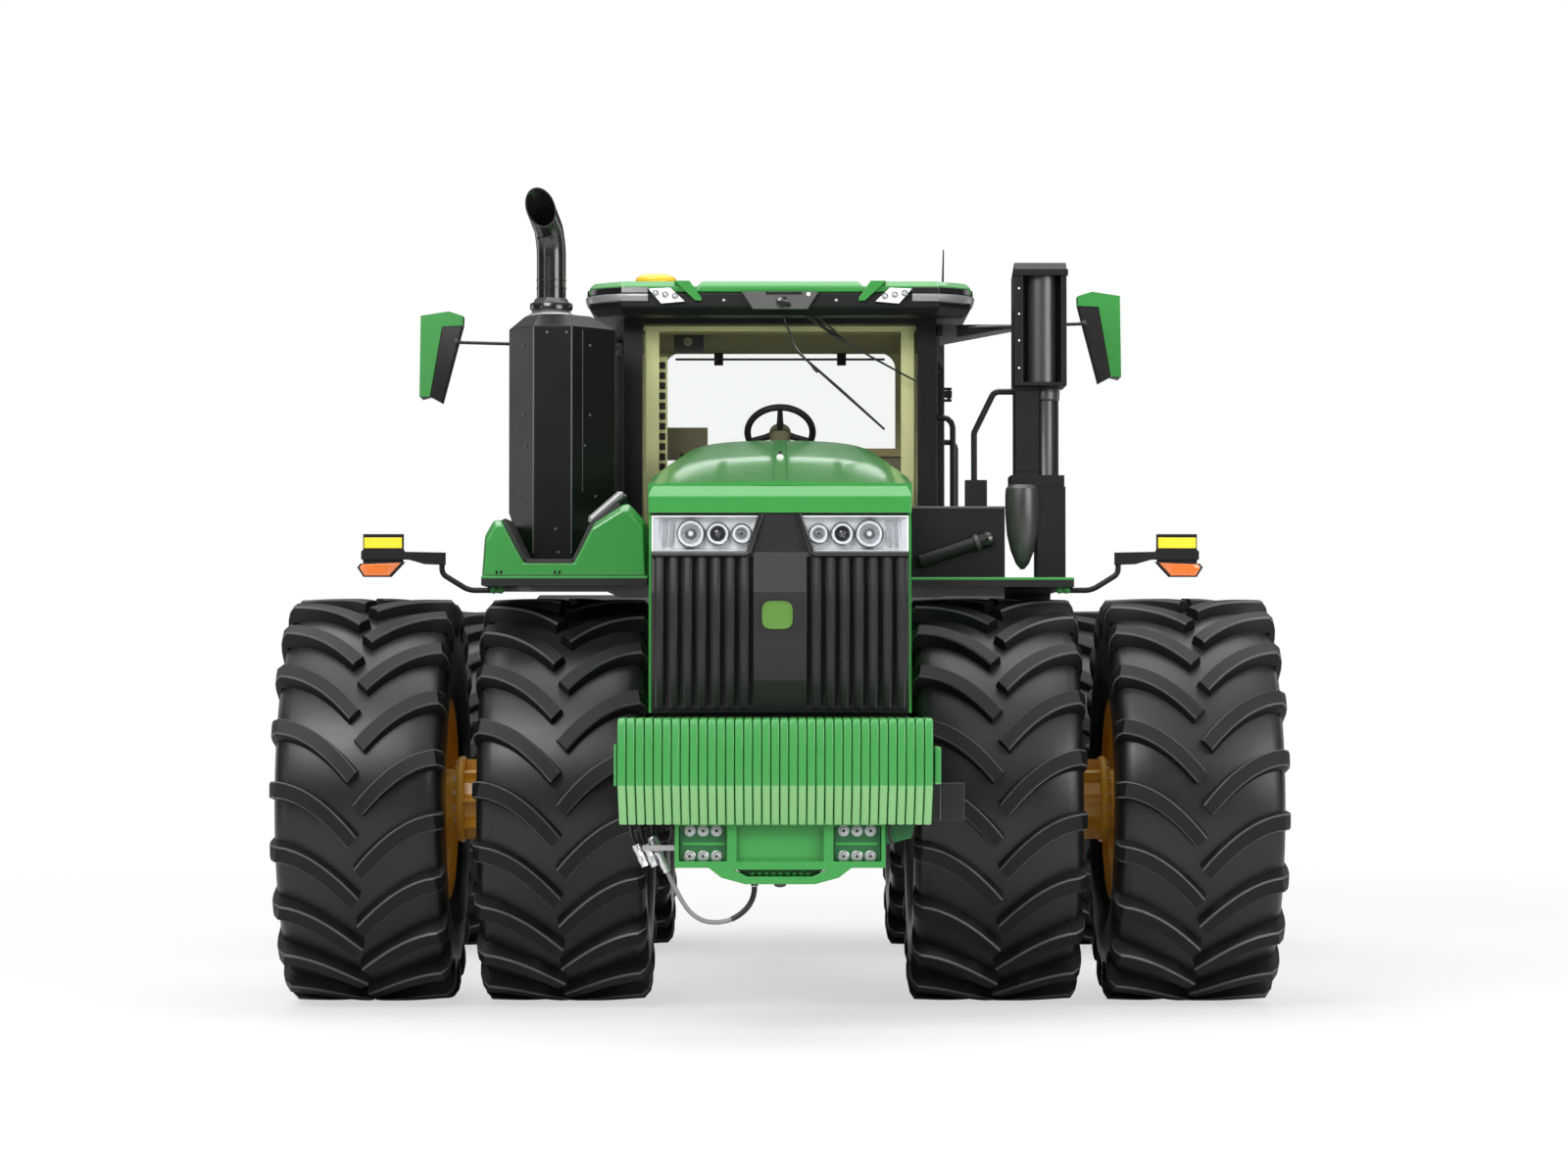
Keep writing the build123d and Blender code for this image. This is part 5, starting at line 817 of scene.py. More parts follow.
lamps = Form((0, LAMP_FACE, LAMP_MIDDLE))
outer = lamp_outline()
inner = lamp_outline(0.006, 0.007, 0.006, 0.006, 0.009)
deep = lamp_outline(0.014, 0.016, 0.05, 0.012, 0.018)
surround = ((outer, 0.1), (outer, 0.003), (inner, 0.0), (inner, 0.006), (deep, 0.04), (deep, 0.041))
for side in BOTH:
    lamps.rings([[(side * x, LAMP_FACE + y, z) for x, z in outline] for outline, y in surround], "chrome")
    for number, (across, radius) in enumerate(LENSES):
        centre = (side * across, LAMP_FACE, LAMP_MIDDLE)
        lamps.lathe([(0.042, radius + 0.005), (0.012, radius + 0.004), (0.004, radius + 0.001),
                     (0.006, radius - 0.004)], centre, "y", 40, "lens_ring", caps=False)
        lamps.lathe([(0.006, radius - 0.004), (0.012, radius - 0.009), (0.009, radius - 0.013),
                     (0.015, radius - 0.016)], centre, "y", 40, "chrome", caps=False)
        bowl = [(0.015 + 0.024 * (1 - (r / BOWL_STEPS) ** 2), (radius - 0.016) * r / BOWL_STEPS)
                for r in range(BOWL_STEPS, 0, -1)]
        lamps.lathe(bowl, centre, "y", 40, "lens" if number == 1 else "reflector_bowl", caps=False)
        lamps.lathe([(0.04, radius * 0.4), (0.024, radius * 0.38), (0.016, radius * 0.3),
                     (0.013, radius * 0.12)], centre, "y", 28, ("lens_ring", "lens", "brow")[number])
        lamps.lathe([(0.015, radius * 0.2), (0.009, radius * 0.16), (0.008, radius * 0.05)], centre, "y",
                    20, ("chrome", "lens_ring", "lens")[number])
    for x in [0.5 + 0.032 * k for k in range(3)]:
        lamps.rings([[(side * (x + w), LAMP_FACE + y, z) for w, z in LAMP_BAR] for y in (0.041, 0.028)],
                    "reflector_bowl")
lamps.make("headlamp_units", "hood", bevel=0.0012, smooth=40, replaces=("headlamps",))
covers = Form((0, LAMP_FACE, LAMP_MIDDLE))
for side in BOTH:
    cover = sided(side, lamp_outline(0.005, 0.006, 0.005, 0.005, 0.008))
    covers.prism(cover, "y", LAMP_FACE + 0.001, LAMP_FACE + 0.003, "lamp_glass")
covers.make("headlamp_covers", "hood", smooth=30)

# ------------------------------------------------------------------ exhaust
PIPE_X, PIPE_Y = -1.202, FY + 0.28
PIPE_RADIUS = 0.0765
exhaust = Form((PIPE_X, PIPE_Y, 3.8))
exhaust.lathe([(3.55, 0.137), (3.556, 0.134), (3.572, 0.106), (3.59, 0.098)], (PIPE_X, PIPE_Y, 0), "z", 56,
              "dull_steel")
exhaust.lathe([(3.586, 0.09), (3.588, 0.106), (3.592, 0.111), (3.618, 0.113), (3.626, 0.108), (3.63, 0.095),
               (3.65, 0.084), (3.652, 0.075)], (PIPE_X, PIPE_Y, 0), "z", 56, "pipe_black")
route = smooth_path([(PIPE_X, PIPE_Y, 3.6), (PIPE_X, PIPE_Y, 4.01),
                     (PIPE_X - 0.085, PIPE_Y - 0.245, 4.215)], 0.17, 10)
cut_y = PIPE_Y - 0.14


def pipe_rings(radius, path):
    """Rings of the pipe, the last one slid along it to the upright cut."""
    rings = tube_rings(path, radius, 40)
    ahead = (path[-1] - path[-2]).normalized()
    rings[-1] = [point + ahead * ((cut_y - point.y) / ahead.y) for point in rings[-1]]
    return rings


bend_end = next(index for index, spot in enumerate(route) if spot.y < cut_y + 0.1)
path = route[:bend_end] + [route[-1]]
outside, inside = pipe_rings(PIPE_RADIUS, path), pipe_rings(PIPE_RADIUS - 0.006, path[2:])
exhaust.rings(outside + list(reversed(inside)), "pipe_black", caps=False)
for z in (3.7, 3.742):
    exhaust.lathe([(z, PIPE_RADIUS), (z + 0.002, PIPE_RADIUS + 0.003), (z + 0.008, PIPE_RADIUS + 0.003),
                   (z + 0.01, PIPE_RADIUS)], (PIPE_X, PIPE_Y, 0), "z", 40, "pipe_black")
exhaust.make("exhaust_stack", "front", smooth=40, replaces=("exhaust_pipe",))

shield = Form((-1.1, FY, 2.6))
BOX_FACE = FY - 0.1
for x, z in ((-1.2, 3.44), (-1.1, 3.44), (-1.155, 2.425), (-1.14, 2.305)):
    shield.lathe([(0.002, 0.008), (-0.003, 0.008), (-0.006, 0.004)], (x, BOX_FACE, z), "y", 12, "trim_grey")
for side, plan in ((1, ((-1.074, -0.1), (-0.862, 0.14))), (-1, ((-1.27, -0.1), (-1.413, 0.14)))):
    (x0, y0), (x1, y1) = plan
    out = Vector((y1 - y0, -abs(x1 - x0), 0)).normalized()
    out.x = abs(out.x) * side

    def on_side(share, z):
        return Vector((x0 + (x1 - x0) * share, FY + y0 + (y1 - y0) * share, z))

    for share, z in ((0.42, 3.02), (0.3, 2.86), (0.42, 3.38), (0.55, 2.6)):
        spot = on_side(share, z)
        shield.tube([spot - out * 0.002, spot + out * 0.004, spot + out * 0.006], [0.007, 0.007, 0.004], 10,
                    "trim_grey")
    if side > 0:
        seam = [on_side(0.25, z) + out * 0.001 for z in (3.46, 2.62)]
        shield.tube(seam, 0.0035, 6, "edge_grey")
COWL_TRIM = ((-0.012, -0.28), (0.016, -0.28), (0.022, 0.24), (-0.012, 0.24))     # section: height, Y
cowl_edge = [(-1.388, 2.452), (-1.33, 2.331), (-1.28, 2.238), (-1.03, 2.238), (-0.997, 2.302),
             (-0.935, 2.432), (-0.8, 2.524)]
for start, end in zip(cowl_edge, cowl_edge[1:]):
    run = Vector((end[0] - start[0], 0, end[1] - start[1])).normalized()
    up = Vector((-run.z, 0, run.x))
    shield.rings([[Vector((x, FY - 0.36, z)) + up * h + Vector((0, y, 0)) for h, y in COWL_TRIM]
                  for x, z in (start, end)], "edge_grey")
# the silver tube stands for the lit top of the black duct under it: painted highlight
strip = [Vector((x, FY - 0.6, z))
         for x, z in ((-0.952, 2.44), (-0.944, 2.454), (-0.8, 2.578), (-0.786, 2.582))]
shield.tube(strip, [0.012, 0.022, 0.022, 0.012], 14, "brow")
shield.tube([spot + Vector((0.018, 0.02, -0.014)) for spot in strip], [0.016, 0.028, 0.028, 0.016], 14,
            "black")
# thin grey strips down the box's two front edges: painted highlights
for x, y in ((-1.27, -0.1), (-1.074, -0.1)):
    shield.tube([(x, FY + y, 2.3), (x, FY + y, 3.472)], 0.0045, 8, "trim_grey")
for x in (-1.418, -1.395, -1.128, -1.105):
    shield.block((x, x + 0.01), (FY - 0.706, FY - 0.69), (2.178, 2.196), "black")
shield.make("exhaust_shield_trim", "front", bevel=0.002, smooth=40)

# ------------------------------------------------------------------ air intake
INTAKE_Y = FY + 0.12
intake = Form((1.35, INTAKE_Y, 3.0))
HEAD_FACE = INTAKE_Y - 0.145
intake.block((1.257, 1.452), (HEAD_FACE + 0.104, HEAD_FACE + 0.108), (3.192, 3.748), "plastic")
turns = [math.pi * (0.05 + 0.9 * k / 12) for k in range(13)]
column = [(1.36 + 0.083 * math.cos(a), HEAD_FACE + 0.104 - 0.075 * math.sin(a)) for a in turns]
intake.prism(column, "z", 3.192, 3.748, "satin")
for z in (3.675, 3.543, 3.405, 3.262):
    intake.lathe([(0.002, 0.006), (-0.003, 0.006), (-0.004, 0.003)], (1.236, HEAD_FACE, z), "y", 10, "white")
intake.block((1.206, 1.49), (HEAD_FACE - 0.01, HEAD_FACE + 0.03), (3.742, 3.775), "plastic")
intake.lathe([(2.6, 0.088), (2.64, 0.084), (2.68, 0.07), (2.7, 0.0625), (3.1, 0.0625), (3.105, 0.072),
              (3.16, 0.074), (3.17, 0.07)], (1.383, INTAKE_Y, 0), "z", 40, "satin")
intake.block((1.222, 1.334), (INTAKE_Y - 0.094, INTAKE_Y - 0.09), (2.73, 3.15), "plastic")
intake.lathe([(2.222, 0.01), (2.25, 0.034), (2.32, 0.062), (2.4, 0.08), (2.5, 0.088), (2.6, 0.089),
              (2.64, 0.086), (2.66, 0.07)], (1.255, INTAKE_Y - 0.088, 0), "z", 36, "satin")
intake.make("air_intake_detail", "front", bevel=0.002, smooth=40)

box_trim = Form((0.9, FY, 2.5))
duct = [Vector((0.72, FY - 0.015, 2.26)), Vector((1.075, FY - 0.015, 2.38))]
FOLDS = 24                   # of the duct's bellows
steps = [duct[0].lerp(duct[1], k / FOLDS) for k in range(FOLDS + 1)]
box_trim.tube(steps, [0.038 if k % 2 else 0.0345 for k in range(FOLDS + 1)], 20, "plastic")
ahead = (duct[1] - duct[0]).normalized()
box_trim.tube([duct[1] + ahead * d for d in (-0.03, -0.02, 0.0, 0.02, 0.03)],
              [0.02, 0.038, 0.046, 0.038, 0.02], 20, "pipe_black")
box_trim.tube([duct[1] + ahead * d for d in (-0.075, -0.07, -0.05, -0.045)], [0.034, 0.044, 0.044, 0.034],
              20, "edge_grey")
box_trim.block((0.678, 1.165), (FY - 0.004, FY + 0.482), (2.536, 2.548), "trim_grey")
box_trim.make("battery_box_trim", "front", bevel=0.002, smooth=40)

# ------------------------------------------------------------------ mirrors
MIRROR_Y = FY + 0.7
MIRRORS = ((1, 3.576, 1.593, 3.726),
           (-1, 3.476, 1.697, 3.62))     # side, Z of the arm, X and Z of the inner top
GREEN_SHELL = [(0.0, -0.024), (0.075, 0.0), (0.226, -0.023), (0.232, -0.458), (0.176, -0.456),
               (0.112, -0.082), (0.002, -0.076)]
DARK_FACE = [(0.003, -0.074), (0.112, -0.08), (0.176, -0.456), (0.112, -0.49)]
DARK_SIDE = [(0.112, -0.08), (0.176, -0.456), (0.222, -0.468), (0.226, -0.44), (0.2, -0.2)]
MIRROR_PANE = [(0.01, -0.09), (0.115, -0.09), (0.18, -0.44), (0.12, -0.475)]
for side, _, mirror_in, top in MIRRORS:
    form = Form((side * (mirror_in + 0.11), MIRROR_Y, top - 0.2))

    def face_ring(outline, y, grow=1.0):
        return [(side * (mirror_in + x), MIRROR_Y + y, top + z) for x, z in grown(outline, grow)]

    form.rings([face_ring(GREEN_SHELL, y) for y in (-0.066, 0.05)], "green")
    form.rings([face_ring(DARK_FACE, y, grow)
                for y, grow in ((-0.063, 0.94), (-0.06, 1.0), (0.052, 1.0), (0.06, 0.96))], "plastic")
    form.rings([face_ring(DARK_SIDE, y) for y in (-0.058, 0.052)], "edge_grey")
    form.rings([face_ring(MIRROR_PANE, y) for y in (0.0605, 0.062)], "mirror_glass")
    form.make("left_mirror_head" if side > 0 else "right_mirror_head", "front", bevel=0.004, segments=3,
              smooth=45)
arms = Form((0, FY + 0.74, 3.5))
for side, arm_z, mirror_in, top in MIRRORS:
    reach = mirror_in + 0.036
    arms.tube([(side * 0.856, FY + 0.76, arm_z - 0.036), (side * reach, MIRROR_Y - 0.04, arm_z - 0.02)],
              0.0095, 14, "pipe_black")
    arms.lathe([(-0.018, 0.006), (-0.012, 0.014), (0.0, 0.018), (0.012, 0.014), (0.03, 0.01)],
               (side * reach, MIRROR_Y - 0.06, arm_z - 0.02), "y", 16, "edge_grey")
    arms.block((side * 0.846, side * 0.872), (FY + 0.728, FY + 0.792), (arm_z - 0.078, arm_z - 0.016),
               "black")
    for dz in (-0.066, -0.03):
        arms.bolt((side * 0.872, FY + 0.76, arm_z + dz), "x", 0.009, sign=side)
arms.prism([(0.858, 3.558), (1.25, 3.56), (1.25, 3.522), (0.858, 3.448)], "y", FY + 0.735, FY + 0.77,
           "trim_grey")
arms.prism([(0.95, 3.555), (1.2, 3.557), (1.2, 3.535), (0.95, 3.49)], "y", FY + 0.731, FY + 0.736, "black")
arms.make("mirror_arms", "front", bevel=0.003, smooth=40, replaces=("mirrors",))

# ------------------------------------------------------------------ roof
ROOF_FRONT = FY + 0.45
ROOF_RIM = 3.704
ROOF_LAMP = [(0.705, ROOF_RIM + 0.018), (0.58, ROOF_RIM + 0.024), (0.498, ROOF_RIM - 0.054),
             (0.632, ROOF_RIM - 0.066)]
LAMP_X, LAMP_Z = [sum(values) / len(ROOF_LAMP) for values in zip(*ROOF_LAMP)]
BROW = [(0.01, 3.698), (-0.016, 3.694), (-0.02, 3.684), (-0.014, 3.656), (0.01, 3.65)]     # outwards, Z
GUTTER = [(0.02, 3.732), (-0.008, 3.73), (-0.012, 3.7), (0.02, 3.696)]
CORNER = [                   # X, Y behind the roof's front, how far the line has turned sideways
    (0.7, -0.004, 0.0), (0.84, 0.0, 0.0), (0.93, 0.052, 0.3), (0.99, 0.115, 0.7), (1.022, 0.2, 0.95),
    (1.024, 0.42, 1.0)]
roof = Form((0, ROOF_FRONT, 3.7))
for side in BOTH:
    for look, rings in (("edge_grey", ((1.0, 0.0), (1.0, 0.02), (0.93, 0.022))),
                        ("chrome", ((0.94, 0.02), (0.92, 0.024), (0.86, 0.025)))):
        roof.rings([[(side * x, ROOF_FRONT - y, z) for x, z in grown(ROOF_LAMP, grow)]
                    for grow, y in rings], look)
    for k in range(3):
        spot = (side * (LAMP_X + 0.056 - 0.052 * k), ROOF_FRONT, LAMP_Z + 0.012 - 0.008 * k)
        roof.lathe([(-0.024, 0.018), (-0.028, 0.017), (-0.026, 0.013)], spot, "y", 20, "lens_ring")
        roof.lathe([(-0.025, 0.012), (-0.029, 0.009), (-0.03, 0.002)], spot, "y", 20, "reflector_bowl")
    for look, section in (("brow", BROW), ("pipe_black", GUTTER)):
        roof.rings([[(side * (x - away * turn), ROOF_FRONT + y + away * (1 - turn), z)
                     for away, z in section] for x, y, turn in CORNER], look)
    fin = sided(side, [(0.562, 3.763), (0.48, 3.763), (0.414, 3.668), (0.418, 3.656), (0.45, 3.658)])
    roof.prism(fin, "y", ROOF_FRONT - 0.024, ROOF_FRONT + 0.05, "green")
    roof.lathe([(0.0, 0.009), (-0.004, 0.009), (-0.006, 0.004)], (side * 0.298, ROOF_FRONT, 3.66), "y", 14,
               "dull_steel")
housing = [(-0.205, 3.704), (0.205, 3.704), (0.145, 3.611), (-0.145, 3.611)]
roof.rings([[(x, ROOF_FRONT - y, z) for x, z in grown(housing, grow, (0, 3.66))]
            for grow, y in ((1.0, 0.0), (1.0, 0.024), (0.96, 0.028))], "trim_grey")
roof.block((-0.075, 0.115), (ROOF_FRONT - 0.034, ROOF_FRONT - 0.02), (3.69, 3.703), "pipe_black")
roof.lathe([(-0.02, 0.034), (-0.036, 0.032), (-0.04, 0.024)], (0.012, ROOF_FRONT, 3.65), "y", 24,
           "pipe_black")
roof.lathe([(-0.026, 0.012), (-0.032, 0.011), (-0.034, 0.003)], (0.15, ROOF_FRONT, 3.69), "y", 16, "white")
roof.make("roof_front_detail", "front", bevel=0.002, smooth=40, replaces=("roof_lamps",))

aerials = Form((0.87, FY + 1.0, 3.8))
aerials.lathe([(3.763, 0.058), (3.775, 0.054), (3.79, 0.03), (3.8, 0.012)], (0.86, FY + 0.9, 0), "z", 24,
              "plastic")
aerials.tube([(0.882, FY + 0.9, 3.79), (0.886, FY + 0.9, 3.98)], [0.006, 0.0035], 10, "plastic")
aerials.lathe([(3.763, 0.034), (3.785, 0.032), (3.795, 0.018)], (-0.855, FY + 0.9, 0), "z", 24, "plastic")
aerials.make("roof_aerials", "front", smooth=40)

dome = Form((-0.67, FY + 0.81, 3.8))
dome.lathe([(3.764, 0.098), (3.779, 0.11), (3.794, 0.112), (3.796, 0.109), (3.798, 0.112), (3.812, 0.108),
            (3.826, 0.092), (3.834, 0.066), (3.837, 0.03), (3.8375, 0.0)], (-0.67, FY + 0.81, 0), "z", 48,
           "receiver")
dome.make("receiver_dome", "front", smooth=30, replaces=("gps_receiver",))

# ------------------------------------------------------------------ windscreen wiper
CAB_FRONT = FY + 0.72
wiper = Form((0, CAB_FRONT, 3.4))


def screen(x, z, off):
    """A point in front of the windscreen."""
    return (x, CAB_FRONT - off, z)


PIVOT_Z = 3.648
wiper.tube([(0.012, ROOF_FRONT - 0.045, PIVOT_Z), (0.03, ROOF_FRONT - 0.05, PIVOT_Z - 0.006),
            (0.1, ROOF_FRONT + 0.06, 3.61), (0.29, CAB_FRONT - 0.04, 3.5)], [0.016, 0.014, 0.01, 0.008], 12,
           "pipe_black")
wiper.tube([(0.05, ROOF_FRONT - 0.02, 3.655), (0.17, ROOF_FRONT + 0.1, 3.6),
            (0.3, CAB_FRONT - 0.035, 3.516)], 0.006, 8, "edge_grey")
wiper.tube([screen(0.26, 3.52, 0.036), screen(0.33, 3.474, 0.034)], 0.012, 10, "pipe_black")
wiper.tube([screen(0.289, 3.5, 0.036), screen(0.489, 3.381, 0.022), screen(0.735, 3.248, 0.014)],
           [0.0065, 0.006, 0.005], 8, "pipe_black")
wiper.tube([screen(0.012, 3.6, 0.1), screen(0.085, 3.43, 0.026), screen(0.19, 3.31, 0.022)], 0.0055, 8,
           "pipe_black")
wiper.tube([screen(0.178, 3.325, 0.024), screen(0.205, 3.3, 0.024)], 0.01, 8, "pipe_black")
wiper.tube([screen(0.094, 3.408, 0.01), screen(0.33, 3.2, 0.01), screen(0.561, 2.992, 0.01)],
           [0.006, 0.0085, 0.006], 6, "sleeve")
wiper.make("windscreen_wiper", "front", smooth=40)

# ------------------------------------------------------------------ cab inside
cabin = Form((0, FY + 1.4, 2.9))
REAR_FACE = FY + 2.09
CORNER_ROUND = 0.09          # upper corners of the rear opening
FRONT_POST = ((0.652, 0.1), (0.722, 0.075), (0.735, 0.16),
              (0.7, 0.19))     # a post's section behind the glass
cabin.block((-0.8, 0.8), (CAB_FRONT + 0.12, REAR_FACE), (3.516, 3.556), "headliner")
cabin.block((-0.735, 0.735), (CAB_FRONT + 0.085, CAB_FRONT + 0.13), (3.528, 3.558), "olive")
for side in BOTH:
    cabin.rings([[(side * x, CAB_FRONT + y, z) for x, y in FRONT_POST] for z in (2.34, 3.54)], "olive")
    surround = [(0.8, 3.52), (0.8, 2.5), (0.66, 2.5)]
    surround += [(0.66 - CORNER_ROUND + CORNER_ROUND * c, 3.52 - CORNER_ROUND + CORNER_ROUND * s)
                 for c, s in circle(32)[:9]]
    cabin.prism(sided(side, surround), "y", REAR_FACE - 0.03, REAR_FACE, "olive")
    cabin.block((side * 0.352 - 0.026, side * 0.352 + 0.026), (REAR_FACE - 0.05, REAR_FACE - 0.02),
                (3.448, 3.52), "dark_trim")
cabin.block((-0.6, 0.6), (REAR_FACE - 0.045, REAR_FACE - 0.03), (3.476, 3.488), "dark_trim")
cabin.block((-0.575, -0.415), (CAB_FRONT + 0.16, CAB_FRONT + 0.34), (3.435, 3.52), "dark_trim")
cabin.lathe([(0.0, 0.026), (-0.012, 0.024), (-0.014, 0.006)], (-0.5, CAB_FRONT + 0.16, 3.478), "y", 20,
            "interior")
cabin.block((-0.675, -0.612), (CAB_FRONT + 0.2, CAB_FRONT + 0.25), (2.5, 3.4), "olive")
for z in [2.62 + 0.055 * k for k in range(14)]:
    cabin.block((-0.662, -0.622), (CAB_FRONT + 0.192, CAB_FRONT + 0.202), (z, z + 0.036), "dark_trim")
cabin.prism([(CAB_FRONT + 0.09, 2.34), (CAB_FRONT + 0.09, 2.52), (CAB_FRONT + 0.3, 2.56),
             (CAB_FRONT + 0.34, 2.34)], "x", -0.62, 0.62, "dark_trim")
cabin.block((0.46, 0.71), (FY + 1.3, FY + 1.52), (2.2, 2.88), "interior")
cabin.block((0.452, 0.718), (FY + 1.285, FY + 1.535), (2.88, 2.925), "headliner")
cabin.block((-0.55, -0.535), (FY + 1.28, FY + 1.31), (2.72, 2.9), "dark_trim")
cabin.block((-0.625, -0.415), (FY + 1.312, FY + 1.318), (2.875, 3.025), "screen")
cabin.tube([(-0.545, FY + 1.33, 2.92), (-0.545, FY + 1.4, 2.88), (-0.543, FY + 1.42, 2.74)], 0.012, 10,
           "dark_trim")
cabin.block((-0.56, -0.3), (FY + 1.3, FY + 1.885), (2.715, 2.728), "dark_trim")
cabin.make("cab_inside", "front", bevel=0.004, smooth=40)

WHEEL_TILT = math.radians(46)
WHEEL_RADIUS, RIM_RADIUS = 0.178, 0.019
hub = Vector((0, FY + 1.06, 2.985))
steering = Form(tuple(hub))
axis = Vector((0, math.sin(WHEEL_TILT), math.cos(WHEEL_TILT)))
flat_x, flat_y = Vector((1, 0, 0)), Vector((0, math.cos(WHEEL_TILT), -math.sin(WHEEL_TILT)))
rings = []
for across, ahead in circle(48):
    out = flat_x * across + flat_y * ahead
    rings.append([hub + axis * (0.022 + RIM_RADIUS * s) + out * (WHEEL_RADIUS + RIM_RADIUS * c)
                  for c, s in circle(10)])
steering.rings(rings + [rings[0]], "dark_trim", caps=False)
for turn in (0.35, math.pi - 0.35, -math.pi / 2):
    out = flat_x * math.cos(turn) + flat_y * math.sin(turn)
    steering.tube([hub + axis * 0.016, hub + axis * 0.014 + out * 0.09, hub + axis * 0.022 + out * 0.172],
                  [0.026, 0.018, 0.014], 10, "dark_trim")
steering.tube([hub, hub + axis * 0.03, hub + axis * 0.038], [0.06, 0.058, 0.048], 24, "interior")
foot = Vector((0, FY + 0.88, 2.58))
steering.tube([foot, foot.lerp(hub, 0.4), foot.lerp(hub, 0.7), hub], [0.085, 0.078, 0.062, 0.055], 20,
              "interior")
steering.block((-0.088, 0.088), (FY + 0.792, FY + 0.928), (2.172, 2.63), "interior")
steering.make("steering_wheel_and_column", "front", bevel=0.003, smooth=45, replaces=("steering_column",))


CORE = 0.72                  # share of a cushion's half size within its rounding
CROWN = 0.12                 # how far its middle stands up, as a share of its thickness
SEAM_DEPTH, SEAM_WIDTH = 0.11, 0.035
PIPING, PIPING_HEIGHT, PIPING_WIDTH = 0.022, 0.35, 0.07


def ridge(away, width):
    """1 on a line and nothing far from it."""
    return math.exp(-(away / width) ** 2)


def cushion(name, size, middle, tilt, channels):
    """A crowned pad with pulled-in sides, a piped seam and sewn channels."""
    work = bmesh.new()
    bmesh.ops.create_cube(work, size=2)
    bmesh.ops.subdivide_edges(work, edges=work.edges[:], cuts=22, use_grid_fill=True)
    half = [s / 2 for s in size]
    turn = Matrix.Rotation(tilt, 4, "X")
    for vert in work.verts:
        core = Vector([max(-CORE, min(CORE, c)) for c in vert.co])
        rim = vert.co - core
        q = core + (rim.normalized() * (1 - CORE) if rim.length > 1e-6 else rim)
        pull = 1 - 0.05 * (1 - min(1, abs(q.z))) - 0.03 * (1 - q.y * q.y) * (1 if abs(q.x) > 0.9 else 0)
        crown = 1 + CROWN * (1 - q.x * q.x) * (1 - q.y * q.y)
        seam = sum(SEAM_DEPTH * ridge(q.y - line, SEAM_WIDTH) for line in channels)
        z = q.z * (crown - seam) if q.z > 0 else q.z * (1 + 0.3 * CROWN * (1 - q.x * q.x))
        girth = pull * (1 + PIPING * ridge(q.z - PIPING_HEIGHT, PIPING_WIDTH))
        vert.co = turn @ Vector((q.x * half[0] * girth, q.y * half[1] * girth, z * half[2]))
    mesh = bpy.data.meshes.new(name)
    work.to_mesh(mesh)
    work.free()
    mesh.materials.append(mats["seat"])
    mesh.shade_smooth()
    obj = put(name, mesh, middle)
    soft = obj.modifiers.new("soft", "SUBSURF")
    soft.levels = soft.render_levels = 1
    bpy.context.view_layer.update()
    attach(obj, "front")


SEAT_Y = FY + 1.64
base = Form((0, SEAT_Y, 2.3))
base.block((-0.15, 0.15), (SEAT_Y - 0.2, SEAT_Y + 0.12), (2.17, 2.2), "dark_trim")
base.lathe([(2.2 + 0.012 * k, 0.13 if k % 2 else 0.105) for k in range(12)], (0, SEAT_Y - 0.04, 0), "z", 32,
           "dark_trim")
base.block((-0.235, 0.235), (SEAT_Y - 0.25, SEAT_Y + 0.18), (2.335, 2.372), "dark_trim")
base.prism([(SEAT_Y + 0.175, 2.38), (SEAT_Y + 0.225, 2.38), (SEAT_Y + 0.288, 2.93), (SEAT_Y + 0.256, 2.93)],
           "x", -0.19, 0.19, "dark_trim")
for side in BOTH:
    base.block((side * 0.245, side * 0.258), (SEAT_Y - 0.05, SEAT_Y + 0.19), (2.44, 2.48), "dark_trim")
base.make("seat_base", "front", bevel=0.008, segments=3, smooth=40, replaces=("operator_seat",))
cushion("seat_cushion", (0.5, 0.46, 0.13), (0, SEAT_Y - 0.04, 2.425), 0.0, (-0.45, 0.0, 0.45))
cushion("seat_back", (0.46, 0.5, 0.11), (0, SEAT_Y + 0.185, 2.74), math.radians(80), (-0.4, 0.15, 0.6))

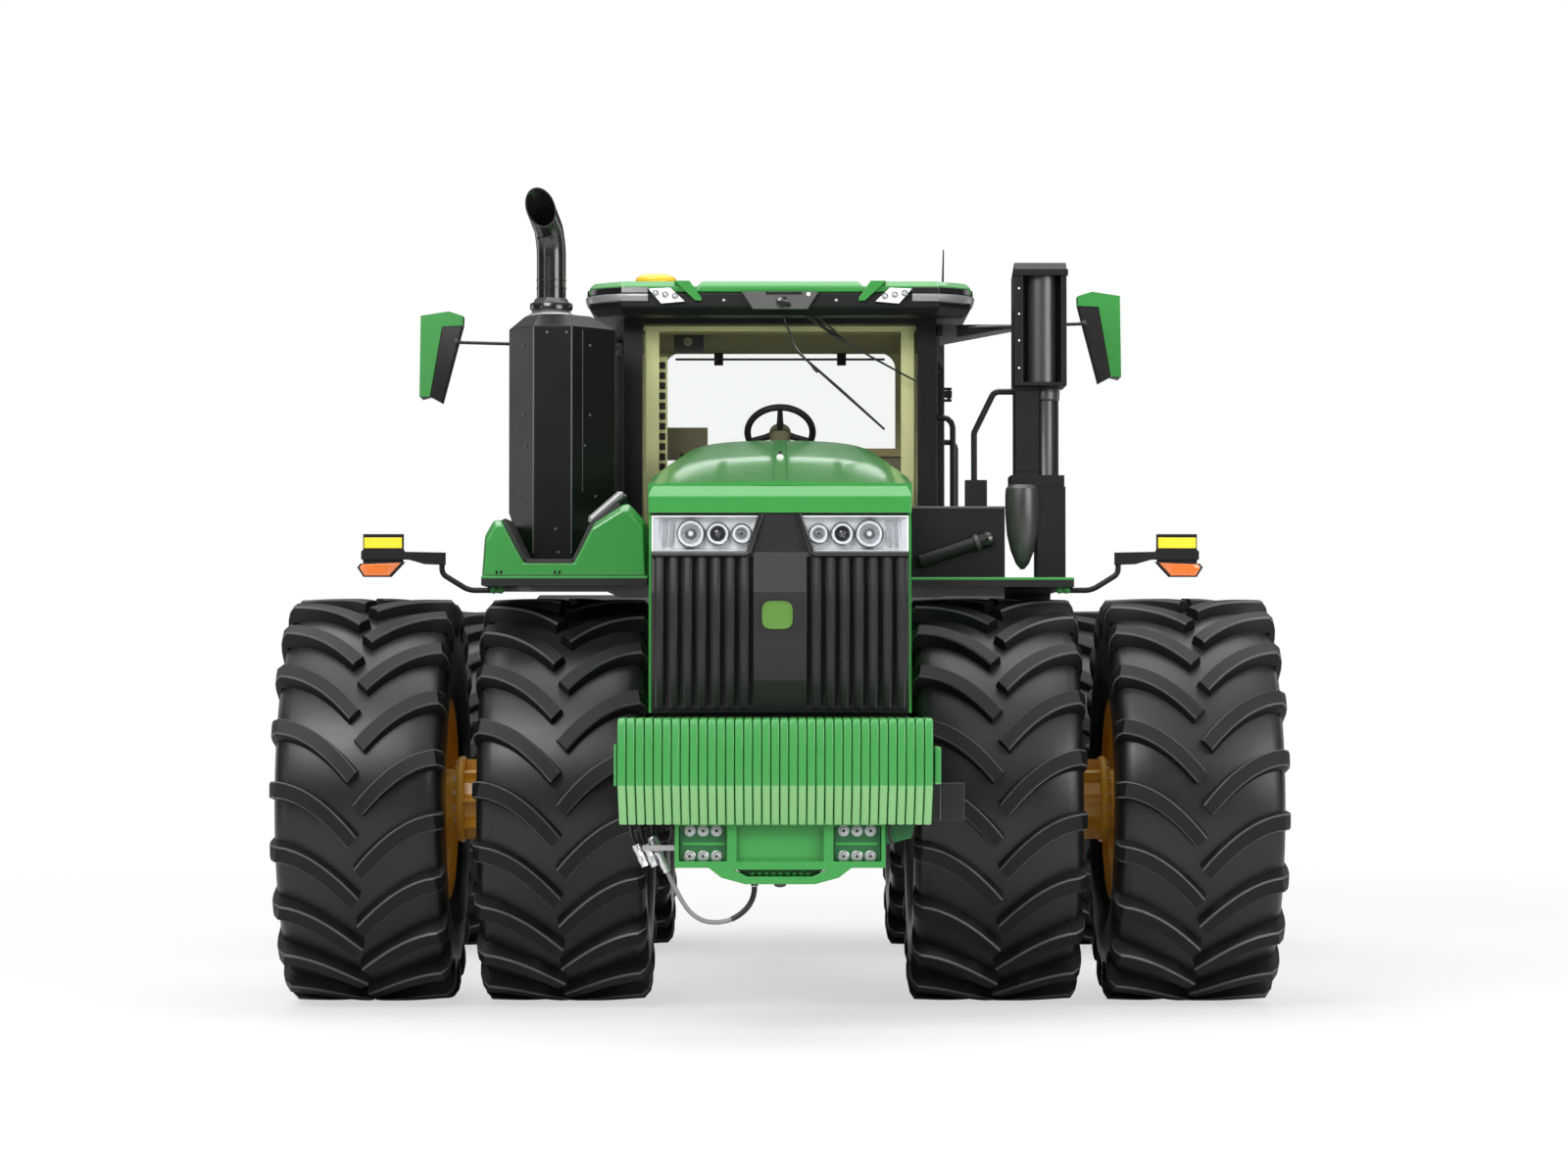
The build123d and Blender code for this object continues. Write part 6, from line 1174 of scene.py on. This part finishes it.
# ------------------------------------------------------------------ marker arms
MARKER_Y = FY - 0.3
POST = 1.721
markers = Form((0, MARKER_Y, 2.3))
ARM = [(-0.018, 2.298), (-0.018, 2.235), (0.09, 2.239), (0.17, 2.262), (0.41, 2.262), (0.41, 2.302),
       (0.18, 2.302)]
PLATE = [(0.195, 2.302), (0.4, 2.302), (0.4, 2.392), (0.195, 2.392)]
STRIP = [(0.202, 2.32), (0.394, 2.32), (0.394, 2.374), (0.202, 2.374)]
BACKING = [(0.19, 2.31), (0.2, 2.24), (0.27, 2.18), (0.39, 2.18), (0.41, 2.31)]
LAMP = [(0.195, 2.248), (0.408, 2.24), (0.424, 2.222), (0.394, 2.176), (0.262, 2.176)]
for side in BOTH:
    for outline, front, back, look in ((PLATE, -0.018, 0.012, "plastic"),
                                       (STRIP, -0.023, -0.017, "reflector"), (ARM, -0.022, 0.02, "plastic"),
                                       (BACKING, -0.01, 0.018, "plastic")):
        markers.prism([(side * (POST + x), z) for x, z in outline], "y", MARKER_Y + front, MARKER_Y + back,
                      look)
    for look, rings in (("plastic", ((1.05, 0.024), (1.08, -0.012), (1.05, -0.022), (0.95, -0.023))),
                        ("amber", ((0.94, -0.018), (0.93, -0.028), (0.84, -0.0315), (0.3, -0.033)))):
        markers.rings([[(side * (POST + x), MARKER_Y + y, z) for x, z in grown(LAMP, grow)]
                       for grow, y in rings], look)
    rod = smooth_path([(side * 1.43, MARKER_Y, 2.106), (side * 1.585, MARKER_Y, 2.106),
                       (side * POST, MARKER_Y, 2.19), (side * POST, MARKER_Y, 2.25)], 0.035, 6)
    markers.tube(rod, 0.0142, 16, "plastic")
    for x in (1.42, 1.455):
        markers.bolt((side * x, MARKER_Y - 0.03, 2.106), "y", 0.014, "green", sign=-1)
markers.make("marker_arm_units", "front", bevel=0.0015, smooth=40, replaces=("marker_arms",))

# ------------------------------------------------------------------ edges of the CAD pieces that stay
EDGES = {
    0.012: "hood_shell cab_roof right_cowl rear_fenders fuel_tank roof_base",
    0.005: "nose_panel exhaust_box air_intake battery_box cab_frame door_frame weight_bracket cab_deck",
    0.003: "grille lower_grille front_frame rear_frame pivot_bulkhead steps tail_lamps side_console "
           "firewall front_left_rims front_right_rims rear_left_rims rear_right_rims drawbar_hanger "
           "drawbar side_screens",
}
WELD_REACH = 0.0002
for width, names in EDGES.items():
    for name in names.split():
        weld = nodes[name].modifiers.new("weld", "WELD")
        weld.merge_threshold = WELD_REACH
        round_edges(nodes[name], width, 2, CAD_EDGE_ANGLE)

# ------------------------------------------------------------------ floor
FLOOR_HALF, FLOOR_GREY = 60, 0.72
FADE_START, FADE_END = 3.0, 13.0     # distances over which the floor fades into the white backdrop
FLOOR_GLOW = 0.6            # share of plain white in the floor near the tractor
floor_mesh = bpy.data.meshes.new("floor")
corners = [(x * FLOOR_HALF, y * FLOOR_HALF, 0) for x, y in ((-1, -1), (1, -1), (1, 1), (-1, 1))]
floor_mesh.from_pydata(corners, [], [(0, 1, 2, 3)])
floor = put("floor", floor_mesh)
floor_mat = bpy.data.materials.new("studio_floor")
tree = blank_tree(floor_mat)
matt = add_node(tree, "ShaderNodeBsdfDiffuse", {"Color": (FLOOR_GREY, FLOOR_GREY, FLOOR_GREY, 1)})
glow = add_node(tree, "ShaderNodeEmission", {"Color": WHITE})
spot = add_node(tree, "ShaderNodeTexCoord").outputs["Object"]
far = add_node(tree, "ShaderNodeVectorMath", {0: spot}, operation="LENGTH").outputs["Value"]
fade = add_node(tree, "ShaderNodeMapRange", {"Value": far, "From Min": FADE_START, "From Max": FADE_END,
                                             "To Min": FLOOR_GLOW}, interpolation_type="SMOOTHSTEP")
share = math_node(tree, "MULTIPLY", fade.outputs[0], seen_directly(tree))
mixed = add_node(tree, "ShaderNodeMixShader", {0: share, 1: matt.outputs[0], 2: glow.outputs[0]})
add_node(tree, "ShaderNodeOutputMaterial", {0: mixed.outputs[0]})
floor_mesh.materials.append(floor_mat)
